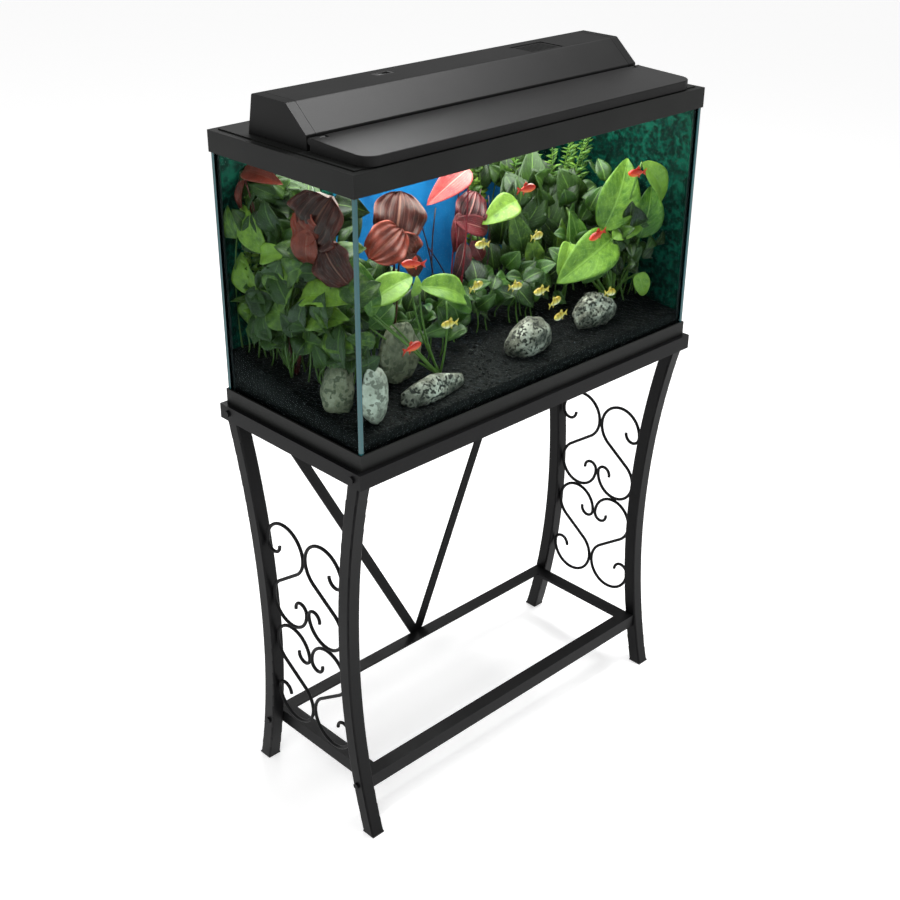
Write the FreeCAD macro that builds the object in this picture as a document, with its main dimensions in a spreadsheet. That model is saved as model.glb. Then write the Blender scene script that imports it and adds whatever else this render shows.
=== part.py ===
import FreeCAD, Part
import Sketcher
import math
import os
import re

# Aquarium on a wrought-iron style stand, in millimetres. +X is to the right along the tank, +Y is to
# the back and +Z is up; the origin is on the floor under the middle of the stand.

SIZES = [
    ("tank_length", 768, "outer length of the rim and of the bottom frame"),
    ("tank_depth", 330, "outer depth of the rim and of the bottom frame"),
    ("tank_height", 444, "from the stand's top to the rim's top"),
    ("stand_height", 718, "floor to the top of the stand"),
    ("top_overhang", 9, "top frame beyond the tank at each end"),
    ("top_margin", 8, "top frame beyond the tank at front and back"),
    ("angle_leg", 25.4, "leg of the steel angles"),
    ("angle_wall", 3, "thickness of the steel angles"),
    ("tube_size", 25.4, "square tube of the legs"),
    ("tube_wall", 1.6, "wall of the square tube"),
    ("tube_corner", 3, "outer corner radius of the square tube"),
    ("leg_fit", 0.8, "gap from a leg to the angle it stands in"),
    ("leg_lean", 1.3, "inward lean of an end frame towards the floor, degrees"),
    ("waist_height", 322, "height of the narrowest place between the legs"),
    ("waist_half", 104.3, "half the distance between leg centres at the waist"),
    ("foot_half", 145, "half the distance between leg centres at the floor"),
    ("plug_head", 2.4, "thickness of a foot plug under the tube"),
    ("plug_depth", 14, "how far a foot plug goes into the tube"),
    ("plug_fit", 0.5, "clearance of a foot plug in the tube"),
    ("shelf_top", 108, "top of the lower frame"),
    ("shelf_half_depth", 132, "half the lower frame's outer depth"),
    ("rod_diameter", 6, "round rod of the scrolls"),
    ("scroll_gap", 0.2, "gap between touching rods"),
    ("scroll_swing", 55, "how far a scroll turns before it runs straight, degrees"),
    ("scroll_neck", 45, "radius of the bend that starts the straight run"),
    ("curl_upper", 16, "radius of the small curl in the large loop"),
    ("curl_lower", 14, "radius of the small curl near the middle"),
    ("brace_width", 19, "flat bar of the back brace"),
    ("brace_wall", 3, "thickness of that bar"),
    ("brace_spread", 318, "brace end from the middle, at the top"),
    ("brace_foot", 8, "brace end from the middle, at the bottom"),
    ("brace_tab", 25, "straight tab of the brace, from its bolt to the bend"),
    ("brace_end", 10, "brace beyond its bolts"),
    ("bolt_diameter", 6, "bolts of the stand"),
    ("bolt_hole", 6.8, "their clearance holes"),
    ("shelf_bolt_in", 2.5, "lower bolts inside the legs' centre lines"),
    ("bolt_head", 11, "diameter of a bolt's head"),
    ("bolt_head_height", 3, "height of a bolt's head"),
    ("nut_height", 4, "height of a nut"),
    ("frame_wall", 3, "outer wall of the rim and the bottom frame"),
    ("frame_height", 26, "height of the bottom frame"),
    ("frame_ledge", 20, "ledge under the glass"),
    ("ledge_height", 9, "height of that ledge"),
    ("glass", 5, "thickness of the upright panes"),
    ("glass_floor", 6, "thickness of the bottom pane"),
    ("seam", 5, "width of a silicone seam"),
    ("rim_height", 33, "height of the rim"),
    ("rim_inner", 20, "depth of the rim's inner wall"),
    ("rim_ledge", 11, "ledge that carries the hood"),
    ("rim_seat", 11, "depth of the hood's seat below the rim's top"),
    ("film", 0.6, "background sheet"),
    ("film_gap", 0.3, "air between sheet and glass"),
    ("gravel_front", 34, "gravel depth at the front"),
    ("gravel_back", 82, "gravel depth at the back"),
    ("gravel_gap", 0.4, "gravel to glass"),
    ("hood_fit", 0.6, "hood's play in the rim"),
    ("hood_rise", 2, "deck above the rim's top"),
    ("hood_wall", 3, "wall of the hood's base"),
    ("shell", 2.5, "wall of the light cover and of the lid"),
    ("seat_gap", 0.3, "gap under the cover and the lid"),
    ("cover_length", 716, "light cover and lid, end to end"),
    ("cover_back", 98, "foot of the cover's back wall, from the middle"),
    ("cover_back_top", 86, "top of the back wall, from the middle"),
    ("cover_crest", 8, "front edge of the cover's flat top"),
    ("cover_nose", -36, "lower edge of the cover's slope"),
    ("cover_height", 62, "cover's top above the rim's top"),
    ("nose_height", 24, "slope's lower edge above the rim's top"),
    ("end_band", 17, "width of the cover's end pieces"),
    ("band_gap", 0.6, "joint between cover and end pieces"),
    ("lid_front", 160, "front of the lid, from the middle"),
    ("lid_top", 22, "lid's top at the hinge, above the rim's top"),
    ("lid_fall", 5, "how much lower the lid is at its front"),
    ("lid_corner", 24, "radius of the lid's front corners"),
    ("hinge_back", 43, "hinge axis in front of the middle"),
    ("barrel", 5, "radius of the lid's hinge barrel"),
    ("pin_radius", 2, "hinge rod"),
    ("pin_fit", 0.06, "running clearance of the rod in the lid"),
    ("lug_place", 338, "hinge lug from the middle"),
    ("lug_width", 12, "width of a hinge lug"),
    ("lug_play", 1, "play beside a lug"),
    ("mouth_half", 322, "half length of the openings in the deck"),
    ("mouth_front", 140, "front edge of the feeding opening"),
    ("mouth_back", 56, "back edge of the feeding opening"),
    ("light_front", 4, "front edge of the light's opening, before the middle"),
    ("light_back", 56, "back edge of the light's opening"),
    ("guard_wall", 3, "splash guard"),
    ("guard_lip", 5, "splash guard over the deck"),
    ("lamp_length", 590, "fluorescent tube"),
    ("lamp_radius", 13, "its radius"),
    ("lamp_y", 26, "its axis behind the middle"),
    ("lamp_rise", 29, "its axis above the rim's top"),
    ("lamp_pin", 1.2, "radius of a contact pin"),
    ("lamp_pin_pitch", 12.7, "distance between the two pins"),
    ("lamp_pin_length", 6.5, "length of a contact pin"),
    ("socket_cap", 0.5, "gap from tube to socket"),
    ("socket_width", 14, "lamp socket along the tube"),
    ("socket_size", 24, "lamp socket's height and depth"),
    ("reflector_wall", 0.8, "bent reflector sheet"),
    ("reflector_half", 30, "half the reflector's mouth"),
    ("reflector_crown", 17, "half its flat crown"),
    ("reflector_gap", 3, "reflector to tube"),
    ("reflector_drop", 14, "how far its sides come down past the tube's axis"),
    ("ballast_length", 150, "ballast"),
    ("ballast_depth", 22, "ballast"),
    ("ballast_height", 34, "ballast"),
    ("ballast_y", 60, "front of the ballast"),
    ("crest_round", 6, "radius along the cover's crest"),
    ("back_round", 4, "radius along the cover's upper back edge"),
    ("nose_round", 2.5, "radius along the slope's lower edge"),
    ("lid_round", 1.8, "radius round the lid's top"),
    ("recess", 1.2, "depth of the recesses in the cover's top"),
    ("vent_place", 188, "middle of the vent recess"),
    ("vent_y", 38, "middle of the vent recess from front to back"),
    ("vent_length", 76, "vent recess"),
    ("vent_depth", 52, "vent recess from front to back"),
    ("vent_edge", 6, "rim of the recess beyond its slots"),
    ("vent_slots", 9, "number of slots"),
    ("vent_slot", 3, "width of a slot"),
    ("switch_place", -132, "middle of the switch"),
    ("switch_y", 59, "middle of the switch from front to back"),
    ("switch_length", 36, "switch frame"),
    ("switch_depth", 17, "switch frame"),
    ("switch_sink", 0.2, "switch frame's top below the cover's"),
    ("rocker_length", 24, "rocker"),
    ("rocker_depth", 10, "rocker"),
    ("rocker_play", 0.4, "rocker in its frame"),
    ("rocker_axle", 1.5, "radius of the rocker's axle"),
    ("rocker_axle_fit", 0.06, "running clearance of the axle"),
    ("rocker_throw", 14, "rocker's travel, degrees"),
    ("gland_place", 262, "cord gland from the middle"),
    ("gland_rise", 18, "cord gland above the deck"),
    ("gland_radius", 7, "flange of the cord gland"),
    ("gland_neck", 5, "neck of the cord gland"),
    ("gland_bore", 3.2, "bore of the cord gland"),
    ("gland_length", 14, "length of the cord gland"),
]

# Places in the tank are x from its middle, y from the front pane's inner face and z above the floor pane.
# Stones: middle (x, y, z), half sizes (x, y, z) and turn about Z in degrees.
STONES = {
    "standing_slab": (-214, 95, 93, 44, 12, 58, -8),
    "front_left_stone": (-322, 29, 79, 26, 17, 48, 6),
    "low_stone": (-196, 39, 45, 66, 22, 24, 4),
    "round_stone": (36, 53, 57, 46, 26, 38, 10),
    "right_stone": (206, 63, 59, 48, 26, 36, -6),
    "side_stone": (-338, 95, 73, 26, 30, 44, 12),
}

# Plants: root (x, y), middle of the crown (x, y, z) and its half sizes (x, y, z). A plant that fills the
# tank's depth has its crown's gap to the front pane instead of y, and to the back pane instead of half y.
PLANTS = {
    "red_lotus_front": (-215, 121, -205, 117, 267, 58, 24, 72),
    "red_lotus_left": (-342, 53, -342, 47, 331, 24, 31, 44),
    "red_lotus_back": (-32, 171, -24, 165, 252, 56, 28, 80),
    "broad_leaves_left": (-335, 233, -336, 57, 182, 34, 9, 76),
    "low_leaves_front": (-150, 91, -176, 85, 191, 112, 14, 42),
    "dark_leaves_middle": (188, 181, 166, 188, 201, 76, 34, 110),
    "feather_plant": (290, 201, 292, 201, 291, 56, 30, 76),
    "broad_leaves_right": (286, 99, 268, 91, 203, 98, 30, 92),
    "bushy_plant_right": (325, 187, 334, 107, 133, 34, 39, 58),
}
DEEP_PLANTS = ("red_lotus_left", "broad_leaves_left", "bushy_plant_right")
STEM_RADIUS = 5
STEM_ROOT = 14

# Fish: middle (x, y, z) and heading about Z in degrees.
RED_FISH = [
    (-246, 25, 265, 172), (-12, 25, 329, 4), (262, 25, 301, 176),
    (168, 25, 215, 182), (-252, 25, 135, 10),
]
BARBS = [
    (-104, 25, 261, 184), (16, 25, 247, 10), (-118, 25, 197, 8), (-30, 25, 175, 4),
    (34, 25, 151, 176), (66, 25, 123, 8), (84, 25, 95, 184), (-172, 25, 151, 178),
    (208, 25, 103, 6),
]
RED_FISH_HALF = (22, 5, 7.5)
BARB_HALF = (17, 4, 7)
doc = FreeCAD.newDocument("aquarium_on_stand")
dims = doc.addObject("Spreadsheet::Sheet", "dims")


def add_sizes(rows, first_row):
    """Write name, size and note of each row into the sheet and give the size its alias."""
    for row, (name, size, note) in enumerate(rows, first_row):
        dims.set("A%d" % row, name)
        dims.set("B%d" % row, str(size))
        dims.set("C%d" % row, note)
        dims.setAlias("B%d" % row, name)


def solid_rows():
    """Rows for the stones and the plants, one size per cell."""
    rows = []
    parts = {"stone": STONES, "plant": PLANTS}
    for kind, table in parts.items():
        for name, values in table.items():
            for place, value in zip("abcdefgh", values):
                rows.append(("%s_%s" % (name, place), value, kind))
    return rows


ALL_SIZES = SIZES + solid_rows()
SIZE_NAMES = {row[0] for row in ALL_SIZES}
add_sizes(ALL_SIZES, 1)
doc.recompute()

nodes = []


def formula(text):
    """The text with the sheet's name before each size that it mentions."""
    return re.sub(r"[a-z]\w*", lambda m: "dims." + m[0] if m[0] in SIZE_NAMES else m[0], text)


def read(text):
    """The present value of a formula in the sheet's sizes."""
    return float(dims.evalExpression(formula(text)))


def bind(thing, **formulas):
    for prop, text in formulas.items():
        thing.setExpression(prop, formula(text))


def place(thing, x="0", y="0", z="0"):
    for axis, text in zip("xyz", (x, y, z)):
        thing.setExpression("Placement.Base." + axis, formula(text))
    return thing


def turn(thing, axis, text):
    thing.Placement.Rotation = FreeCAD.Rotation(axis, read(text))
    thing.setExpression("Placement.Rotation.Angle", formula(text))
    return thing


def node(thing, label):
    """Count a finished object as one sub-part of the aquarium, under its own name."""
    thing.Label = label
    nodes.append(thing)
    return thing


def block(name, size, low, at=("0", "0")):
    """Box of the given size, centred on at in X and Y, with its underside at low."""
    thing = doc.addObject("Part::Box", name)
    bind(thing, Length=size[0], Width=size[1], Height=size[2])
    x = "(%s) - (%s) / 2" % (at[0], size[0])
    y = "(%s) - (%s) / 2" % (at[1], size[1])
    return place(thing, x, y, low)


def rod(name, radius, length, axis, x, y, z):
    """Cylinder from (x, y, z) along an axis, given as X, Y or Z."""
    thing = doc.addObject("Part::Cylinder", name)
    bind(thing, Radius=radius, Height=length)
    if axis == "X":
        thing.Placement.Rotation = FreeCAD.Rotation(FreeCAD.Vector(0, 1, 0), 90)
    if axis == "Y":
        thing.Placement.Rotation = FreeCAD.Rotation(FreeCAD.Vector(1, 0, 0), -90)
    return place(thing, x, y, z)


def fuse(name, parts):
    thing = doc.addObject("Part::MultiFuse", name)
    thing.Shapes = parts
    return thing


def group(name, parts):
    """Separate solids that share one node."""
    thing = doc.addObject("Part::Compound", name)
    thing.Links = parts
    return thing


def cut(name, base, tools):
    thing = doc.addObject("Part::Cut", name)
    thing.Base = base
    thing.Tool = tools[0] if len(tools) == 1 else fuse(name + "_tools", tools)
    return thing


def sketch_on(body, role, name, offset="0"):
    """Sketch on one of the body's own origin planes, moved along its normal by offset."""
    sketch = body.newObject("Sketcher::SketchObject", name)
    plane = [item for item in body.Origin.OriginFeatures if item.Role == role][0]
    sketch.AttachmentSupport = [(plane, "")]
    sketch.MapMode = "FlatFace"
    sketch.setExpression("AttachmentOffset.Base.z", formula(offset))
    return sketch


def fix_point(sketch, geometry, end, x, y):
    """Hold one end of a sketch line at (x, y), both formulas."""
    for kind, text in (("DistanceX", x), ("DistanceY", y)):
        rule = Sketcher.Constraint(kind, -1, 1, geometry, end, read(text))
        index = sketch.addConstraint(rule)
        sketch.setExpression("Constraints[%d]" % index, formula(text))


def polygon(sketch, corners):
    """Closed outline through the corners, each a pair of formulas."""
    points = [FreeCAD.Vector(read(x), read(y), 0) for x, y in corners]
    lines = []
    for start, end in zip(points, points[1:] + points[:1]):
        lines.append(sketch.addGeometry(Part.LineSegment(start, end), False))
    for line, following in zip(lines, lines[1:] + lines[:1]):
        sketch.addConstraint(Sketcher.Constraint("Coincident", line, 2, following, 1))
    for line, (x, y) in zip(lines, corners):
        fix_point(sketch, line, 1, x, y)


def rounded_square(sketch, x, y, side, radius):
    """Square outline centred on (x, y) with rounded corners."""
    half = "(%s) / 2" % side
    flat = "((%s) / 2 - (%s))" % (side, radius)
    lines = []
    arcs = []
    for quarter in range(4):
        angle = quarter * 90
        signs = [(1, -1), (1, 1), (-1, 1), (-1, -1)][quarter]
        following = [(1, 1), (-1, 1), (-1, -1), (1, -1)][quarter]
        if quarter % 2 == 0:
            ends = [("%s + %d * %s" % (x, signs[0], half), "%s + %d * %s" % (y, s, flat))
                    for s in (signs[1], following[1])]
        else:
            ends = [("%s + %d * %s" % (x, s, flat), "%s + %d * %s" % (y, signs[1], half))
                    for s in (signs[0], following[0])]
        points = [FreeCAD.Vector(read(a), read(b), 0) for a, b in ends]
        line = sketch.addGeometry(Part.LineSegment(*points), False)
        for end, (a, b) in enumerate(ends, 1):
            fix_point(sketch, line, end, a, b)
        lines.append(line)
        middle = FreeCAD.Vector(read("%s + %d * %s" % (x, following[0], flat)),
                                read("%s + %d * %s" % (y, following[1], flat)), 0)
        circle = Part.Circle(middle, FreeCAD.Vector(0, 0, 1), read(radius))
        start = math.radians(angle)
        arcs.append(sketch.addGeometry(Part.ArcOfCircle(circle, start, start + math.pi / 2), False))
    for quarter in range(4):
        sketch.addConstraint(Sketcher.Constraint("Coincident", lines[quarter], 2, arcs[quarter], 1))
        following = lines[(quarter + 1) % 4]
        sketch.addConstraint(Sketcher.Constraint("Coincident", arcs[quarter], 2, following, 1))
        index = sketch.addConstraint(Sketcher.Constraint("Radius", arcs[quarter], read(radius)))
        sketch.setExpression("Constraints[%d]" % index, formula(radius))


def bend_sketch(body, name, side, radius, far_height):
    """Arc from the waist to far_height, curving outwards on the given side of the YZ plane."""
    sketch = sketch_on(body, "YZ_Plane", name)
    centre = ("%d * (waist_half + (%s))" % (side, radius), "waist_height")
    middle = FreeCAD.Vector(read(centre[0]), read(centre[1]), 0)
    circle = Part.Circle(middle, FreeCAD.Vector(0, 0, 1), read(radius))
    reach = math.asin((read(far_height) - read("waist_height")) / read(radius))
    facing = math.pi if side > 0 else 0.0
    far = facing - reach if side > 0 else facing + reach
    first, last = sorted((facing, far))
    arc = sketch.addGeometry(Part.ArcOfCircle(circle, first, last), False)
    fix_point(sketch, arc, 3, centre[0], centre[1])
    index = sketch.addConstraint(Sketcher.Constraint("Radius", arc, read(radius)))
    sketch.setExpression("Constraints[%d]" % index, formula(radius))
    for end, angle in ((1, first), (2, last)):
        height = "waist_height" if angle == facing else far_height
        rule = Sketcher.Constraint("DistanceY", -1, 1, arc, end, read(height))
        index = sketch.addConstraint(rule)
        sketch.setExpression("Constraints[%d]" % index, formula(height))
    return sketch


def prism(name, outline, role, length, midplane=True):
    """Body with one padded outline, drawn on the plane with that role."""
    body = doc.addObject("PartDesign::Body", name)
    sketch = sketch_on(body, role, name + "_outline")
    polygon(sketch, outline)
    pad = body.newObject("PartDesign::Pad", name + "_pad")
    pad.Profile = sketch
    bind(pad, Length=length)
    if midplane:
        pad.Midplane = True
    doc.recompute()
    return body


def edges_where(shape, test):
    """Names of the shape's edges that pass the test."""
    return ["Edge%d" % i for i, edge in enumerate(shape.Edges, 1) if test(edge)]


def is_upright(edge):
    ends = [vertex.Point for vertex in edge.Vertexes]
    return len(ends) == 2 and (ends[0] - ends[1]).cross(FreeCAD.Vector(0, 0, 1)).Length < 1e-6


# Sizes that several pieces share

TOP_LENGTH = "(tank_length + 2 * top_overhang)"
TOP_DEPTH = "(tank_depth + 2 * top_margin)"
RIM_TOP = "(stand_height + tank_height)"
LEG_TOP = "(stand_height - angle_wall - leg_fit)"
LEG_TOP_X = "(tank_length / 2 + top_overhang - angle_wall - leg_fit - tube_size / 2)"
LEG_TOP_Y = "(tank_depth / 2 + top_margin - angle_wall - leg_fit - tube_size / 2 - 0.5)"
LEG_FOOT_X = "(%s - %s * tan(leg_lean * 1deg))" % (LEG_TOP_X, LEG_TOP)
SHELF_X = "(%s + shelf_top * tan(leg_lean * 1deg) - tube_size / 2 - leg_fit)" % LEG_FOOT_X
UPPER_RISE = "(%s - waist_half)" % LEG_TOP_Y
UPPER_SPAN = "(%s - waist_height)" % LEG_TOP
UPPER_BEND = "((%s ^ 2 + %s ^ 2) / (2 * %s))" % (UPPER_SPAN, UPPER_RISE, UPPER_RISE)
LOWER_RISE = "(foot_half - waist_half)"
LOWER_BEND = "((waist_height ^ 2 + %s ^ 2) / (2 * %s))" % (LOWER_RISE, LOWER_RISE)
BOLT_TOP_Z = "(stand_height - angle_leg / 2)"
BOLT_SHELF_Z = "(shelf_top - angle_leg / 2)"
SIDES = {"left": -1, "right": 1}
ENDS = {"front": -1, "back": 1}


def leg_half(height):
    """Distance of a leg's centre line from the middle, at a height."""
    bend = UPPER_BEND if height > read("waist_height") else LOWER_BEND
    radius = read(bend)
    climb = height - read("waist_height")
    return read("waist_half") + radius - math.sqrt(radius ** 2 - climb ** 2)


BOLT_TOP_Y = leg_half(read(BOLT_TOP_Z))
BOLT_SHELF_Y = leg_half(read(BOLT_SHELF_Z)) - read("shelf_bolt_in")


# Stand

def lean(thing, side):
    """Stand an end frame's piece in its leaning plane."""
    turn(thing, FreeCAD.Vector(0, 1, 0), "%d * leg_lean" % side)
    return place(thing, "%d * %s" % (side, LEG_FOOT_X))


def bolt_holes(name, side, end):
    """Two clearance holes along X through a leg: top frame and lower frame."""
    near = "%d * (%s + tube_size)" % (side, LEG_TOP_X)
    start = near if side < 0 else "%s - 3 * tube_size" % near
    holes = []
    for level, y, z in (("top", BOLT_TOP_Y, BOLT_TOP_Z), ("low", BOLT_SHELF_Y, BOLT_SHELF_Z)):
        tool = rod("%s_hole_%s" % (name, level), "bolt_hole / 2", "3 * tube_size", "X",
                   start, str(end * y), z)
        holes.append(tool)
    return holes


def make_leg(end_name, side_name):
    """Bent square tube: one section at the waist, carried up and down along two arcs."""
    side, end = SIDES[side_name], ENDS[end_name]
    name = "leg_%s_%s" % (end_name, side_name)
    body = doc.addObject("PartDesign::Body", name + "_tube")
    section = sketch_on(body, "XY_Plane", name + "_section", "waist_height")
    middle = "%d * waist_half" % end
    rounded_square(section, "0", middle, "tube_size", "tube_corner")
    rounded_square(section, "0", middle, "tube_size - 2 * tube_wall", "tube_corner - tube_wall")
    reach = "tube_size / 2"
    runs = (("upper", UPPER_BEND, "%s + %s" % (LEG_TOP, reach)), ("lower", LOWER_BEND, "0 - " + reach))
    for run, radius, far in runs:
        path = bend_sketch(body, "%s_%s_path" % (name, run), end, radius, far)
        pipe = body.newObject("PartDesign::AdditivePipe", "%s_%s" % (name, run))
        pipe.Profile = section
        pipe.Spine = (path, ["Edge1"])
        doc.recompute()
    lean(body, side)
    room = "2 * tank_depth"
    above = block(name + "_above", (room, room, "tube_size * 2"), LEG_TOP)
    place(above, "%d * %s - tank_depth" % (side, LEG_TOP_X), "0 - tank_depth", LEG_TOP)
    below = block(name + "_below", (room, room, "tube_size * 2"), "plug_head - 2 * tube_size")
    place(below, "%d * %s - tank_depth" % (side, LEG_TOP_X), "0 - tank_depth",
          "plug_head - 2 * tube_size")
    return node(cut(name, body, [above, below] + bolt_holes(name, side, end)), name)


def make_foot_plugs():
    """Moulded plugs: a square head on the floor and a shank inside each tube."""
    plugs = []
    for side_name, side in SIDES.items():
        for end_name, end in ENDS.items():
            name = "plug_%s_%s" % (end_name, side_name)
            y = "%d * foot_half" % end
            x = "%d * %s" % (side, LEG_FOOT_X)
            head = block(name + "_head", ("tube_size", "tube_size + 1", "plug_head"), "0", (x, y))
            slope = "tan(asin(waist_height / %s))" % LOWER_BEND
            inner = "tube_size - 2 * tube_wall - 2 * plug_fit - plug_depth * (%s)" % slope
            shank_y = "%d * (foot_half - plug_depth * %s / 2)" % (end, slope)
            shank = block(name + "_shank", (inner, inner, "plug_depth"), "plug_head", (x, shank_y))
            plugs.append(fuse(name, [head, shank]))
    return node(group("foot_plugs", plugs), "foot_plugs")


def make_angle_rail(name, length, half_depth, top, quarter, holes):
    """Steel angle with mitred ends, its flat side up and its corner outwards."""
    outline = [("0 - (%s)" % half_depth, "0"), ("0 - (%s)" % half_depth, "0 - angle_leg"),
               ("0 - (%s) + angle_wall" % half_depth, "0 - angle_leg"),
               ("0 - (%s) + angle_wall" % half_depth, "0 - angle_wall"),
               ("0 - (%s) + angle_leg" % half_depth, "0 - angle_wall"),
               ("0 - (%s) + angle_leg" % half_depth, "0")]
    body = prism(name + "_angle", outline, "YZ_Plane", length)
    for mark, sign in (("a", -1), ("b", 1)):
        mitre = sketch_on(body, "XY_Plane", "%s_mitre_%s" % (name, mark))
        corner = "%d * (%s) / 2" % (sign, length)
        polygon(mitre, [(corner, "0 - (%s)" % half_depth),
                        ("%s - %d * angle_leg * 2" % (corner, sign), "0 - (%s) + angle_leg * 2" % half_depth),
                        (corner, "0 - (%s) + angle_leg * 2" % half_depth)])
        pocket = body.newObject("PartDesign::Pocket", "%s_pocket_%s" % (name, mark))
        pocket.Profile = mitre
        pocket.Type = "ThroughAll"
        pocket.Midplane = True
        doc.recompute()
    turn(body, FreeCAD.Vector(0, 0, 1), str(90 * quarter))
    place(body, z=top)
    return node(cut(name, body, holes) if holes else body, name)


def x_hole(name, x, y, z):
    return rod(name, "bolt_hole / 2", "2 * tube_size", "X", "%s - tube_size" % x, y, z)


def y_hole(name, x, y, z):
    return rod(name, "bolt_hole / 2", "2 * tube_size", "Y", x, "%s - tube_size" % y, z)


def make_frame(prefix, length, depth, top, bolt_y, bolt_z, brace_holes):
    """Four mitred angles round a rectangle; the end ones carry the bolt holes."""
    for name, quarter in (("front", 0), ("right", 1), ("back", 2), ("left", 3)):
        along_x = quarter % 2 == 0
        full = "%s_%s" % (prefix, name)
        holes = []
        if not along_x:
            x = "%d * (%s) / 2" % (SIDES[name], length)
            holes = [x_hole("%s_hole_%d" % (full, end > 0), x, str(end * bolt_y), bolt_z)
                     for end in ENDS.values()]
        if name == "back":
            holes = [y_hole("%s_hole_%d" % (full, i), x, "(%s) / 2" % depth, z)
                     for i, (x, z) in enumerate(brace_holes)]
        run, offset = (length, depth) if along_x else (depth, length)
        make_angle_rail(full, run, "(%s) / 2" % offset, top, quarter, holes)


SHELF_LENGTH = "(2 * %s)" % SHELF_X
SHELF_DEPTH = "(2 * shelf_half_depth)"
BRACE_TOP_Z = "(stand_height - angle_leg / 2)"
BRACE_FOOT_Z = "(shelf_top - angle_leg / 2)"


def make_frames():
    make_frame("top_rail", TOP_LENGTH, TOP_DEPTH, "stand_height", BOLT_TOP_Y, BOLT_TOP_Z,
               [("0 - brace_spread", BRACE_TOP_Z), ("brace_spread", BRACE_TOP_Z)])
    make_frame("lower_rail", SHELF_LENGTH, SHELF_DEPTH, "shelf_top", BOLT_SHELF_Y, BOLT_SHELF_Z,
               [("0", BRACE_FOOT_Z)])


def make_brace(side_name):
    """Flat bar with a tab bent at each end, from the top back rail to the lower one's middle."""
    side = SIDES[side_name]
    name = "back_brace_" + side_name
    rise = "(%s - %s)" % (BRACE_TOP_Z, BRACE_FOOT_Z)
    run = "brace_spread"
    length = "(%s ^ 2 + %s ^ 2) ^ 0.5" % (rise, run)
    step = "%d * brace_wall" % (1 if side > 0 else 0)
    foot_y = "(shelf_half_depth + leg_fit / 2 + %s)" % step
    top_y = "(tank_depth / 2 + top_margin - angle_wall - leg_fit / 2)"
    far = "%s - brace_tab" % length
    end = "%s + brace_end" % length
    outline = [("0 - brace_end", foot_y), ("brace_tab", foot_y), (far, top_y + " - brace_wall"),
               (end, top_y + " - brace_wall"), (end, top_y), (far, top_y),
               ("brace_tab", foot_y + " + brace_wall"), ("0 - brace_end", foot_y + " + brace_wall")]
    body = prism(name + "_bar", outline, "XY_Plane", "brace_width")
    turn(body, FreeCAD.Vector(0, 1, 0), "%s * 1deg / 1deg" % ("0 - atan2(%s; %s) / 1deg" % (rise, run)
         if side > 0 else "atan2(%s; %s) / 1deg - 180" % (rise, run)))
    place(body, z=BRACE_FOOT_Z)
    tools = [y_hole(name + "_hole_foot", "0", "shelf_half_depth", BRACE_FOOT_Z),
             y_hole(name + "_hole_top", "%d * brace_spread" % side, "tank_depth / 2", BRACE_TOP_Z),
             block(name + "_trim", ("tank_length", "tank_depth * 2", "angle_leg"), LEG_TOP)]
    return node(cut(name, body, tools), name)


def scroll_path():
    """Centre line of one scroll as tangent arcs and one straight run, in the end frame's plane.

    It starts in the small curl of the large loop, goes round that loop, runs slanting across to the
    leg, goes round the lower loop and ends in its small curl. Points are (y, z)."""
    rod_half = read("rod_diameter") / 2
    near = rod_half + read("scroll_gap") / 2
    swing = math.radians(read("scroll_swing"))
    neck = read("scroll_neck")
    middle = read("waist_height") + read("rod_diameter") * 2
    lower = (leg_half(middle + 40) - read("tube_size") / 2 - rod_half - near) / 2 - 0.1
    low_z = middle + near + lower
    run = (near + lower + lower * math.cos(swing) - near - neck * (1 - math.cos(swing))) / math.sin(swing)
    high_z = low_z + lower * math.sin(swing) + run * math.cos(swing) + neck * math.sin(swing)
    mirror_z = 2 * middle - high_z
    room = min(leg_half(high_z), leg_half(mirror_z)) - read("tube_size") / 2 - rod_half
    upper = (room - near) / 2 - 0.3
    curl = read("curl_upper")
    start = (near + 2 * upper - 2 * curl, high_z)
    steps = [(curl, math.pi), (upper, math.pi), (neck, swing), (0, run),
             (lower, -swing - math.pi), (read("curl_lower"), -math.pi * 1.05)]
    return start, steps, middle


def trace(start, heading, steps):
    """Edges of a path: (radius, turn) is an arc, turning left if positive; (0, length) is straight."""
    y, z = start
    edges = []
    for radius, amount in steps:
        if radius == 0:
            new = (y + amount * math.cos(heading), z + amount * math.sin(heading))
            edges.append(Part.LineSegment(FreeCAD.Vector(0, y, z), FreeCAD.Vector(0, *new)).toShape())
        else:
            left = math.copysign(1, amount)
            centre = (y - left * radius * math.sin(heading), z + left * radius * math.cos(heading))
            stops = []
            for part in (0.5, 1):
                angle = heading + amount * part
                stops.append((centre[0] + left * radius * math.sin(angle),
                              centre[1] - left * radius * math.cos(angle)))
            corners = [FreeCAD.Vector(0, *point) for point in [(y, z)] + stops]
            edges.append(Part.Arc(*corners).toShape())
            new = stops[1]
            heading += amount
        y, z = new
    return edges


def make_scroll_panel(side_name):
    """Four bent rods, mirrored front to back and top to bottom, welded between two legs."""
    name = "scroll_panel_" + side_name
    start, steps, middle = scroll_path()
    wire = Part.Wire(trace(start, -math.pi / 2, steps))
    ring = Part.Wire(Part.Circle(FreeCAD.Vector(0, *start), FreeCAD.Vector(0, 0, 1),
                                 read("rod_diameter") / 2).toShape())
    scroll = wire.makePipeShell([ring], True, False)
    level = FreeCAD.Vector(0, 0, middle)
    upper = [scroll, scroll.mirror(level, FreeCAD.Vector(0, 1, 0))]
    lower = [shape.mirror(level, FreeCAD.Vector(0, 0, 1)) for shape in upper]
    panel = doc.addObject("Part::Feature", name)
    panel.Shape = Part.Compound(upper + lower)
    return node(lean(panel, SIDES[side_name]), name)


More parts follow.
